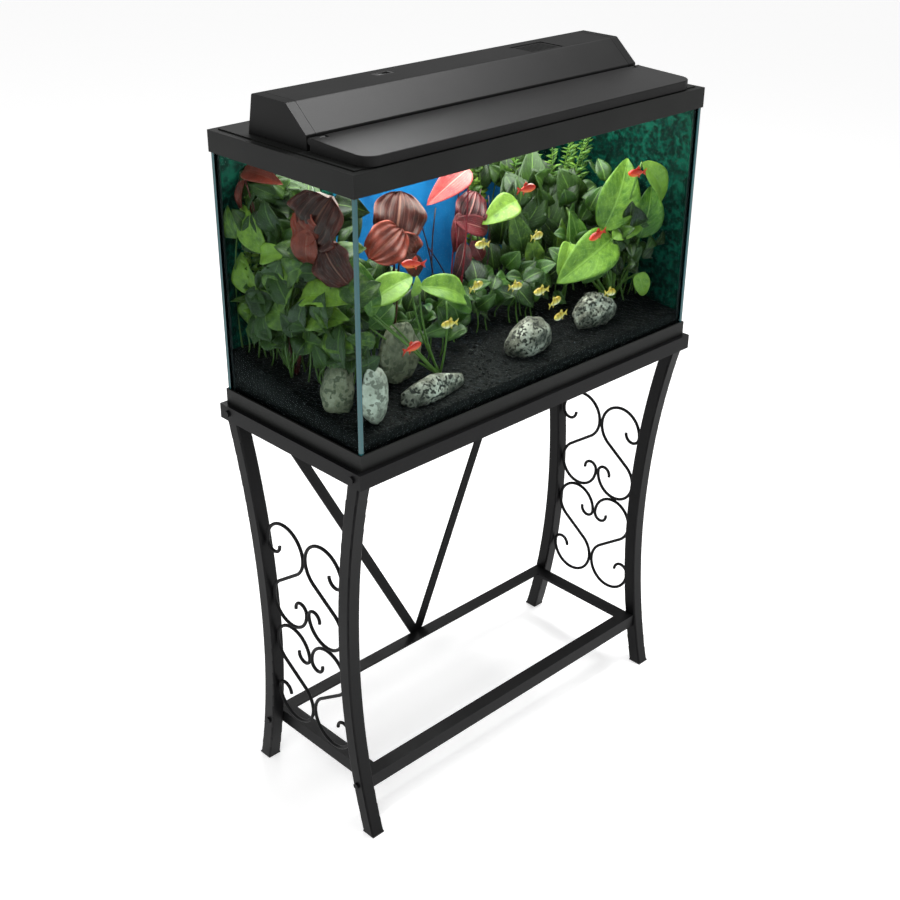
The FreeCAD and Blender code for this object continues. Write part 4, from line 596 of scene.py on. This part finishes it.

# Each leaf: outline, base (x, y, z), tip (x, y, z), width, the way it faces, tone from 0 dark to 1 pale,
# partly the leaf's own colour and partly painted shade: lower and deeper leaves get darker tones
plantLeaves = {
    "red_lotus_front": {"slot": "red_leaf", "root": (-215, -36), "stem": 1.3, "leaves": [
        ("round", (-200, -38, 1000), (-178, -34, 1070), 84, (-0.5, -1, 0.3), 0.22),
        ("round", (-192, -46, 1018), (-250, -44, 985), 66, (-0.4, -1, 0.5), 0.75),
        ("round", (-198, -48, 1012), (-172, -50, 962), 50, (-0.4, -1, 0.1), 0.6),
        ("oval", (-188, -44, 980), (-150, -44, 930), 30, (-0.3, -1, 0.1), 0.5),
    ]},
    "red_lotus_left": {"slot": "red_leaf", "root": (-335, 40), "stem": 1.3, "leaves": [
        ("round", (-345, -22, 1030), (-350, -62, 1100), 96, (-1, -0.3, 0.4), 0.12),
        ("round", (-352, -46, 1040), (-352, 18, 1062), 58, (-1, -0.3, 0.1), 0.85),
        ("oval", (-354, -28, 1050), (-356, -22, 990), 44, (-1, -0.4, 0.1), 0.8),
        ("round", (-346, -50, 1030), (-352, -100, 985), 62, (-1, -0.4, 0.2), 0.2),
        ("oval", (-350, 130, 1100), (-352, 40, 1104), 32, (-1, -0.2, 0.9), 0.95),
        ("oval", (-346, 132, 1090), (-352, 140, 1030), 18, (-1, 0, 0.2), 0.5),
    ]},
    "red_lotus_back": {"slot": "pink_leaf", "root": (-20, 12), "stem": 1.2, "leaves": [
        ("oval", (-8, -4, 1066), (-112, -24, 1038), 44, (-0.4, -1, 0.8), 0.6),
        ("oval", (-6, 20, 988), (-16, 16, 922), 28, (-0.5, -1, 0), 0.12),
        ("oval", (-18, 16, 978), (66, 14, 942), 34, (-0.5, -1, 0.4), 0.2),
        ("oval", (30, 24, 930), (52, 20, 890), 26, (-0.5, -1, 0), 0.05),
        ("round", (10, 26, 960), (40, 22, 1012), 58, (-0.5, -1, 0.2), -0.1),
        ("oval", (-2, 10, 940), (-26, 6, 880), 30, (-0.4, -1, 0.1), -0.2),
    ], "stalks": [((foot, 30, 800), (top, 60, high), (bow, 0, 0)) for foot, top, high, bow in (
        (-50, -70, 1010, 16), (-36, -20, 990, -14), (-22, 30, 1040, 12), (-6, 60, 985, -16),
        (10, 20, 960, 18), (24, 86, 1000, -12), (40, 70, 940, 20), (-60, -96, 960, -10),
        (56, 104, 985, 12), (0, -40, 930, 14))]},
    "broad_leaves_left": {"slot": "green_leaf", "root": (-335, 60), "stem": 1.6, "leaves": [
        ("oval", (-350, 84, 985), (-354, 138, 1048), 42, (-1, -0.3, 0.2), 0.8),
        ("oval", (-344, 124, 905), (-354, 148, 968), 46, (-1, -0.2, 0.2), 0.7),
        ("oval", (-350, 98, 975), (-356, 24, 1002), 32, (-1, -0.3, 0.5), 0.95),
        ("oval", (-346, 14, 955), (-352, 46, 1000), 34, (-1, -0.2, 0.2), 0.8),
        ("oval", (-350, 4, 935), (-354, -112, 966), 44, (-1, -0.4, 0.9), 0.95),
        ("oval", (-342, 76, 905), (-350, 18, 976), 60, (-1, -0.3, 0.3), 0.6),
        ("oval", (-344, 128, 890), (-350, 148, 850), 40, (-1, -0.3, 0.2), 0.5),
        ("oval", (-340, 70, 915), (-346, 114, 945), 44, (-1, -0.2, 0.3), 0.7),
        ("oval", (-342, 34, 880), (-350, 92, 905), 48, (-1, -0.3, 0.4), 0.55),
        ("oval", (-342, 0, 905), (-352, -96, 932), 50, (-1, -0.3, 0.6), 0.7),
        ("oval", (-336, 62, 1005), (-344, 78, 1052), 34, (-1, -0.2, 0.2), 0.25),
        ("oval", (-346, -52, 900), (-352, -112, 885), 44, (-1, -0.4, 0.4), 0.6),
        ("oval", (-340, 20, 860), (-350, -40, 872), 44, (-1, -0.4, 0.5), 0.45),
        ("oval", (-340, 60, 850), (-350, 118, 838), 42, (-1, -0.3, 0.5), 0.4),
    ], "fill": [
        {"count": 90, "low": (-362, -125, 835), "high": (-310, 150, 1015), "size": (44, 72),
         "facing": (-1, -0.4, 0.6), "tone": (0.0, 0.55), "seed": 5},
        {"count": 60, "low": (-320, -40, 835), "high": (-250, 150, 1090), "size": (50, 80),
         "facing": (-1, -0.5, 0.4), "tone": (-0.25, 0.2), "seed": 6},
        {"count": 24, "low": (-350, 60, 1000), "high": (-300, 150, 1090), "size": (40, 60),
         "facing": (-1, -0.4, 0.4), "tone": (-0.1, 0.35), "seed": 7}]},
    "low_leaves_front": {"slot": "light_green_leaf", "root": (-140, -76), "stem": 1.5, "leaves": [
        ("oval", (-302, -84, 935), (-200, -84, 958), 44, (-0.2, -1, 0.9), 0.85),
        ("oval", (-186, -78, 934), (-68, -78, 880), 46, (-0.2, -1, 0.8), 0.75),
        ("oval", (-290, -88, 915), (-306, -86, 1000), 30, (-0.3, -1, 0), 0.5),
        ("oval", (-196, -74, 918), (-184, -74, 948), 18, (-0.2, -1, 0), 0.9),
        ("oval", (-254, -66, 905), (-276, -66, 955), 36, (-0.2, -1, 0.2), 0.35),
        ("oval", (-280, -70, 890), (-230, -72, 915), 36, (-0.2, -1, 0.6), 0.3),
        ("oval", (-120, -70, 890), (-60, -74, 860), 30, (-0.2, -1, 0.6), 0.2),
    ], "fill": [
        # the dark fill leaves low among the stems carry painted shade: their low tones paint the shadow
        # under the plants
        {"count": 44, "low": (-340, -44, 840), "high": (-190, -6, 950), "size": (36, 64),
         "facing": (-0.5, -1, 0.6), "tone": (-0.3, 0.25), "seed": 15},
        {"count": 74, "low": (-150, -46, 812), "high": (236, 40, 866), "size": (32, 60),
         "facing": (-0.5, -1, 0.8), "tone": (-0.35, 0.15), "seed": 16}]},
    "dark_leaves_middle": {"slot": "green_leaf", "root": (190, 34), "stem": 1.8, "leaves": [
        ("oval", (215, 30, 850), (222, 26, 1000), 68, (-0.6, -1, 0.2), 0.12),
        ("oval", (180, 40, 845), (176, 38, 985), 46, (-0.6, -1, 0.2), 0.45),
        ("oval", (250, 34, 865), (262, 30, 975), 50, (-0.6, -1, 0.2), 0.3),
        ("oval", (118, 6, 985), (34, 0, 968), 46, (-0.5, -1, 0.8), 0.75),
        ("oval", (150, 20, 880), (120, 16, 960), 44, (-0.6, -1, 0.2), 0.4),
        ("oval", (165, 6, 860), (150, 0, 915), 36, (-0.6, -1, 0.3), 0.55),
        ("oval", (200, 60, 930), (210, 56, 1050), 60, (-0.6, -1, 0.2), 0.2),
        ("oval", (236, 0, 860), (238, -4, 948), 40, (-0.6, -1, 0.2), 0.6),
    ], "fill": [
        {"count": 62, "low": (136, 20, 830), "high": (290, 80, 985), "size": (50, 95),
         "facing": (-0.5, -1, 0.3), "tone": (-0.2, 0.3), "seed": 21, "upright": 0.8},
        {"count": 16, "low": (150, 90, 960), "high": (230, 140, 1080), "size": (40, 70),
         "facing": (-0.5, -1, 0.3), "tone": (-0.2, 0.3), "seed": 22, "upright": 0.6}]},
    "broad_leaves_right": {"slot": "light_green_leaf", "root": (300, -62), "stem": 2.0, "leaves": [
        ("heart", (192, -52, 908), (158, -60, 860), 46, (-0.5, -1, 0.3), 0.85),
        ("oval", (252, -20, 862), (232, -20, 946), 42, (-0.6, -1, 0.2), 0.45),
        ("oval", (290, -66, 900), (150, -72, 856), 74, (-0.6, -1, 0.6), 0.7),
        ("oval", (276, -76, 902), (356, -84, 935), 42, (-0.4, -1, 0.9), 0.8),
        ("oval", (268, -60, 915), (318, -70, 1034), 76, (-0.6, -1, 0.2), 0.62),
        ("oval", (300, -110, 1040), (364, -120, 960), 44, (-0.5, -1, 0.8), 0.95),
        ("oval", (330, -92, 895), (356, -96, 985), 56, (-0.6, -1, 0.2), 0.42),
        ("heart", (318, -104, 835), (336, -110, 790), 40, (-0.5, -1, 0.2), 0.9),
        ("oval", (262, -60, 880), (214, -70, 835), 50, (-0.5, -1, 0.5), 0.35),
    ], "fill": [
        {"count": 26, "low": (200, -50, 850), "high": (362, 0, 1000), "size": (40, 66),
         "facing": (-0.6, -1, 0.5), "tone": (-0.3, 0.1), "seed": 31}]},
    "bushy_plant_right": {"slot": "green_leaf", "root": (335, 30), "stem": 1.6, "leaves": [
        ("oval", (350, -40, 830), (352, -50, 912), 42, (-0.7, -1, 0.2), 0.35),
        ("oval", (330, -30, 825), (300, -40, 866), 50, (-0.7, -1, 0.5), 0.2),
    ], "fill": [
        {"count": 150, "low": (290, -108, 822), "high": (366, 100, 940), "size": (26, 48),
         "facing": (-0.8, -1, 0.6), "tone": (-0.25, 0.3), "seed": 9}]},
}


def fillLeaves(spec):
    # random leaves spread through a box, turned about a common facing; upright leans their tips upwards
    rng = np.random.default_rng(spec["seed"])
    low, high = np.array(spec["low"], float), np.array(spec["high"], float)
    leaves = []
    for _ in range(spec["count"]):
        base = rng.uniform(low, high)
        size = rng.uniform(*spec["size"])
        lean = rng.normal(0, 1, 3) * [0.7, 0.7, 0.6] + [0, 0, 0.3 + 1.6 * spec.get("upright", 0)]
        tip = base + lean / np.linalg.norm(lean) * size
        tip = np.clip(tip, low - [8, 8, 12], high + [4, 8, 30])
        facing = np.array(spec["facing"]) + rng.normal(0, 0.4, 3)
        leaves.append(("oval", tuple(base), tuple(tip), size * rng.uniform(0.5, 0.72), tuple(facing),
                       # each fill's tone range is set low for leaves deep in a plant, painted shade between
                       # the front leaves
                       rng.uniform(*spec["tone"])))
    return leaves


def keepInside(verts):
    # leaves that would reach through a pane lie flat against it instead
    clear = 0.0015
    verts[:, :2] = np.clip(verts[:, :2], np.array(innerLow) + clear, np.array(innerHigh) - clear)


def buildPlant(name, plant):
    parts = []
    x, y = plant["root"]
    ground = gravelSurface(np.array(x / 1000), np.array(y / 1000)) - 0.004
    root = np.array([x / 1000, y / 1000, float(ground)])
    leaves = plant["leaves"] + [leaf for spec in plant.get("fill", []) for leaf in fillLeaves(spec)]
    for number, (kind, base, tip, width, facing, tone) in enumerate(leaves):
        hero = number < len(plant["leaves"])
        rows, columns = (24, 23) if kind == "round" else (20, 11) if hero else (9, 5)
        parts.append(blade(mm(*base), mm(*tip), width / 1000, facing, kind, rows, columns, tone, number))
        if hero or number % 3 == 0:
            away = np.array([0, 0.012, 0]) * (1 if number % 2 else -0.6)
            foot = root + np.array([0.003, 0.002, 0]) * (number % 4 - 1.5)
            if not hero:
                foot[:2] = mm(base[0] + 6, base[1] + 10)
            withStem(foot, parts, mm(*base), plant["stem"] / 1000 * (1 if hero else 0.7), 0.3, away)
    for foot, top, bow in plant.get("stalks", []):
        withStem(mm(*foot), parts, mm(*top), 0.0011, -0.3, mm(*bow))
    verts, faces, values = joinParts(parts)
    keepInside(verts)
    return meshPiece(name + "Leaves", verts, faces, leafMats[plant["slot"]], "tank",
                     attributes=values, replaces=[name] if name in nodes else [])


def sprigs(stalks, leafLength, spacing, width, seed, droop=0.0):
    # small leaves in pairs along each stalk: one coarse blade repeated, its place and turn from arrays
    rng = np.random.default_rng(seed)
    parts = []
    for start, end, bow in stalks:
        path = stemCurve(mm(*start), mm(*end), mm(*bow), 16)
        points, faces = tube(path, np.linspace(0.0012, 0.0006, len(path)), 5)
        n = points.reshape(-1, 3).shape[0]
        parts.append((points, faces, plainStem(n, 0.6)))
        length = np.linalg.norm(np.diff(path, axis=0), axis=1).sum()
        count = int(length / spacing)
        for i in range(count):
            t = 0.12 + 0.86 * i / count
            at = np.array([np.interp(t, np.linspace(0, 1, len(path)), path[:, k]) for k in range(3)])
            taper = math.sin(min(1, 0.25 + (1 - t) * 1.6) * math.pi / 2)
            for side in (-1, 1):
                turn = rng.normal(0, 0.25)
                out = np.array([side * (1 + turn * 0.3), rng.normal(-0.3, 0.5), 0.55 - droop + turn])
                out /= np.linalg.norm(out)
                tip = at + out * leafLength * taper
                parts.append(blade(at, tip, width * taper, (rng.normal(-0.4, 0.3), -1, 0.5), "oval", 5, 3,
                                   rng.uniform(0.2, 0.75)))
    return joinParts(parts)


featherStalks = [
    ((268, 44, 800), (340, 30, 1105), (-14, 0, 10)), ((262, 50, 800), (300, 44, 1090), (-8, 0, 8)),
    ((250, 56, 800), (250, 50, 1075), (6, 0, 6)), ((300, 60, 800), (356, 50, 1070), (-4, 0, 8)),
    ((240, 70, 800), (215, 66, 1085), (4, 0, 6)), ((230, 80, 800), (180, 84, 1080), (0, 0, 6)),
    ((310, 80, 800), (352, 84, 1100), (0, 0, 6)),
]
backStalks = [((x, 136, 812), (x + lean, 134, top), (0, 0, 8)) for x, lean, top in (
    (136, 10, 1095), (160, -8, 1085), (-345, 6, 1085), (-300, -8, 1060), (-255, 10, 1050))]


def buildFeather():
    verts, faces, values = sprigs(featherStalks, 0.021, 0.0065, 0.0042, 13)
    keepInside(verts)
    meshPiece("featherPlantShoots", verts, faces, leafMats["light_green_leaf"], "tank",
              attributes=values, replaces=["feather_plant"])
    verts, faces, values = sprigs(backStalks, 0.020, 0.013, 0.010, 17, droop=0.2)
    meshPiece("backRowSprigs", verts, faces, leafMats["green_leaf"], "tank", attributes=values)


for name, plant in plantLeaves.items():
    buildPlant(name, plant)
buildFeather()
print("plants done")


def fishSkin(name, back, side, belly, band, bands):
    # scaled skin with a wet gloss: darker back, paler belly, dark upright bands where it has them, and a
    # painted glow of its own colour that brightens it
    mat, tree = newMaterial(name)
    along = add(tree, "Attribute", {"attribute_name": "along"}).outputs["Fac"]
    height = add(tree, "Attribute", {"attribute_name": "height"}).outputs["Fac"]
    colour = add(tree, "ValToRGB", {"stops": [(0.15, belly), (0.5, side), (0.9, back)]},
                 {"Fac": height}).outputs["Color"]
    stripes = add(tree, "ValToRGB", {"stops": bands}, {"Fac": along}).outputs["Color"]
    mixed = add(tree, "Mix", {"data_type": "RGBA", 7: linear(band)}, {0: stripes, 6: colour})
    coords = add(tree, "TexCoord").outputs["Object"]
    scales = add(tree, "TexVoronoi", {"Scale": 900.0}, {"Vector": coords})
    bump = add(tree, "Bump", {"Strength": 0.3, "Distance": 0.0003}, {"Height": scales})
    # the emission is painted light: the fish glow though they are no lamps
    shader = add(tree, "BsdfPrincipled", {"Roughness": 0.28, "IOR": 1.45, "Emission Strength": 0.15},
                 {"Base Color": mixed.outputs[2], "Normal": bump, "Emission Color": mixed.outputs[2]})
    add(tree, "OutputMaterial", links={"Surface": shader})
    return mat


fishFins = (  # corners as shares of length, thickness and half depth: tail, back, belly and side fin
    ((-0.27, 0, 0.2), (-0.5, 0, 0.95), (-0.43, 0, 0), (-0.5, 0, -0.95), (-0.27, 0, -0.2)),
    ((0.14, 0, 0.85), (-0.02, 0, 1.75), (-0.12, 0, 1.2), (-0.12, 0, 0.6)),
    ((-0.02, 0, -0.7), (-0.13, 0, -1.45), (-0.16, 0, -0.5)),
    ((0.12, 0.7, -0.1), (0.03, 1.8, -0.55), (0.09, 0.8, -0.5)),
)


def fin(flat):
    # thin closed fan through the corners, 0.36 mm thick
    x, z = flat[:, 0], flat[:, 2]
    if np.sum(x * np.roll(z, -1) - np.roll(x, -1) * z) > 0:
        flat = flat[::-1]
    both = np.concatenate([flat + [0, 0.00018, 0], flat - [0, 0.00018, 0]])
    n = len(flat)
    i = np.arange(n)
    faces = [i.tolist(), (n + i)[::-1].tolist()]
    faces += np.stack([i, i + n, (i + 1) % n + n, (i + 1) % n], -1).tolist()
    return both, faces, {"along": np.full(2 * n, 0.98), "height": np.full(2 * n, 0.6)}


def fishParts(length, depth, thick):
    # body: rings of half height h(t) and half width w(t) from nose to tail, both rounded; fins: thin fans
    rows, columns = 22, 16
    t = np.linspace(0, 1, rows)
    h = depth * np.clip(np.sin(t ** 0.72 * math.pi) ** 0.8, 0, 1) * 0.95 + depth * 0.16 * t + 0.0001
    w = thick * np.clip(np.sin(t ** 0.6 * math.pi) ** 0.75, 0, 1) + 0.00025
    h[0], w[0] = depth * 0.06, thick * 0.08
    angle = np.linspace(0, tau, columns, endpoint=False)
    x = (0.5 - t)[:, None] * length * 0.78 + 0 * angle[None] + length * 0.11
    y = w[:, None] * np.cos(angle)[None]
    z = h[:, None] * np.sin(angle)[None]
    points = np.stack([x, y, z], -1)
    faces = [quad[::-1] for quad in gridFaces(rows, columns, closed=True)]
    faces += [list(range(columns)), [(rows - 1) * columns + i for i in range(columns)][::-1]]
    run = np.repeat(t * 0.78, columns)
    tall = (z / (2 * depth) + 0.5).reshape(-1)
    parts = [(points, faces, {"along": run, "height": tall})]
    for corners in fishFins:
        parts.append(fin(np.array(corners) * [length, thick, depth]))
    return joinParts(parts)


def fishEyes(length, depth, thick):
    # two small domes on the cheeks
    parts = []
    for side in (-1, 1):
        v = np.linspace(0.15, math.pi - 0.15, 7)[:, None]
        u = np.linspace(0, tau, 10, endpoint=False)[None]
        r = depth * 0.2
        unit = np.stack([np.sin(v) * np.cos(u), np.cos(v) * side + 0 * u, np.sin(v) * np.sin(u)], -1)
        centre = np.array([length * 0.39, side * thick * 0.62, depth * 0.12])
        points = unit * r * np.array([1, 0.5, 1]) + centre
        faces = gridFaces(7, 10, closed=True)
        faces = faces if side > 0 else [q[::-1] for q in faces]
        faces += [list(range(10))[::-side], [60 + i for i in range(10)][::side]]
        n = 70
        parts.append((points, faces, {"along": np.zeros(n), "height": np.zeros(n)}))
    return joinParts(parts)


def school(name, node, places, size, mat, eyeMat):
    length, depth, thick = size
    body = fishParts(length, depth, thick)
    eyes = fishEyes(length, depth, thick)
    for label, (verts, faces, values), skin in (("Bodies", body, mat), ("Eyes", eyes, eyeMat)):
        parts = []
        for number, (x, y, z, heading) in enumerate(places):
            a = math.radians(heading)
            tilt = math.radians(((number * 37) % 23) - 11)
            turn = np.array(Matrix.Rotation(a, 3, "Z") @ Matrix.Rotation(tilt, 3, "Y"))
            parts.append((verts @ turn.T + mm(x, y, z), faces, values))
        points, quads, extra = joinParts(parts)
        meshPiece(name + label, points, quads, skin, "tank", attributes=extra,
                  replaces=[node] if label == "Bodies" else [])


redSkin = fishSkin("swordtailSkin", "#8e140a", "#d8321a", "#f0702e", "#8a1008", [(0.6, 0.0), (1.0, 0.3)])
barbSkin = fishSkin("barbSkin", "#9a7d1e", "#d8bf58", "#ece4c4", "#3a3018",
                    [(0.10, 0.0), (0.14, 0.55), (0.20, 0.0), (0.33, 0.0), (0.39, 0.6), (0.46, 0.0),
                     (0.60, 0.0), (0.66, 0.55), (0.72, 0.0), (0.9, 0.1)])
eyeBlack = plainMaterial("fishEyeBlack", "#0a0a0a", 0.1)
redFish = [(-246, -132, 998, 172), (-12, -132, 1062, 4), (262, -132, 1034, 176), (168, -132, 948, 182),
           (-252, -132, 868, 10)]
barbs = [(-104, -132, 994, 184), (16, -132, 980, 10), (-118, -132, 930, 8), (-30, -132, 908, 4),
         (34, -132, 884, 176), (66, -132, 856, 8), (84, -132, 828, 184), (-172, -132, 884, 178),
         (208, -132, 836, 6)]
school("redFish", "red_fish", redFish, (0.044, 0.0066, 0.0045), redSkin, eyeBlack)
school("barbFish", "barbs", barbs, (0.034, 0.0062, 0.0038), barbSkin, eyeBlack)
print("fish done")


studio = {"floorHalf": 40, "floorZ": -0.0005, "floorGlow": 0.42, "sky": 0.55}
studioLights = {  # place, aim, size (x, y), watts, colour
    "keyLight": ((-2.4, -1.2, 3.2), (0, 0, 0.8), (1.6, 1.6), 34, (1, 1, 1)),
    "fillLight": ((0.6, -3.4, 1.6), (0, 0, 0.8), (2.0, 1.6), 12, (1, 1, 1)),
    "slopeLight": ((1.0, -0.25, 3.2), (-0.3, 0, 1.2), (0.8, 0.8), 62, (1, 1, 1)),
    "lidLight": ((1.37, 2.16, 2.14), (-0.3, -0.1, 1.2), (0.9, 0.9), 13, (1, 1, 1)),
    "tankLight": ((0, 0, 1.146), (0, 0, 0.7), (0.66, 0.26), 6.5, (1.0, 0.97, 0.9)),
}


def buildFloor():
    mesh = bpy.data.meshes.new("studioFloor")
    half, z = studio["floorHalf"], studio["floorZ"]
    corners = [(-half, -half, z), (half, -half, z), (half, half, z), (-half, half, z)]
    mesh.from_pydata(corners, [], [(0, 1, 2, 3)])
    floor = bpy.data.objects.new("studioFloor", mesh)
    bpy.context.collection.objects.link(floor)
    mat, tree = newMaterial("palePaperFloor")
    shader = add(tree, "BsdfPrincipled", {
        "Base Color": linear("#fafafa"), "Roughness": 0.9, "Emission Color": linear("#ffffff"),
        "Emission Strength": studio["floorGlow"]})
    add(tree, "OutputMaterial", links={"Surface": shader})
    mesh.materials.append(mat)


def areaLight(name, place, target, size, power, colour):
    data = bpy.data.lights.new(name, "AREA")
    data.shape = "RECTANGLE"
    data.size, data.size_y = size
    data.energy = power
    data.color = colour
    light = bpy.data.objects.new(name, data)
    light.location = place
    light.rotation_euler = (Vector(target) - Vector(place)).to_track_quat("-Z", "Y").to_euler()
    bpy.context.collection.objects.link(light)
    light.visible_camera = False


def buildLights():
    world = bpy.data.worlds.new("studio")
    bpy.context.scene.world = world
    world.use_nodes = True
    world.node_tree.nodes["Background"].inputs["Color"].default_value = (1, 1, 1, 1)
    world.node_tree.nodes["Background"].inputs["Strength"].default_value = studio["sky"]
    for name, values in studioLights.items():
        areaLight(name, *values)


cameraView = {"azimuth": -44.32, "elevation": 27.35, "roll": 0.413, "distance": 2.40042, "lens": 54.742,
              "shiftRight": -0.02968, "shiftUp": -0.038, "aim": (0, 0, 0.6)}


def buildCamera():
    a, e = math.radians(cameraView["azimuth"]), math.radians(cameraView["elevation"])
    back = Vector((math.sin(a) * math.cos(e), -math.cos(a) * math.cos(e), math.sin(e)))
    right = (-back).cross(Vector((0, 0, 1))).normalized()
    up = right.cross(-back)
    target = Vector(cameraView["aim"]) + right * cameraView["shiftRight"] + up * cameraView["shiftUp"]
    roll = math.radians(cameraView["roll"])
    across = right * math.cos(roll) + up * math.sin(roll)
    upward = up * math.cos(roll) - right * math.sin(roll)
    data = bpy.data.cameras.new("camera")
    data.lens = cameraView["lens"]
    data.sensor_width = 36
    camera = bpy.data.objects.new("camera", data)
    turn = Matrix((across, upward, back)).transposed().to_4x4()
    camera.matrix_world = Matrix.Translation(target + back * cameraView["distance"]) @ turn
    bpy.context.collection.objects.link(camera)
    bpy.context.scene.camera = camera


bpy.context.scene.view_settings.view_transform = "Standard"
buildFloor()
buildLights()
buildCamera()
print("stage done")
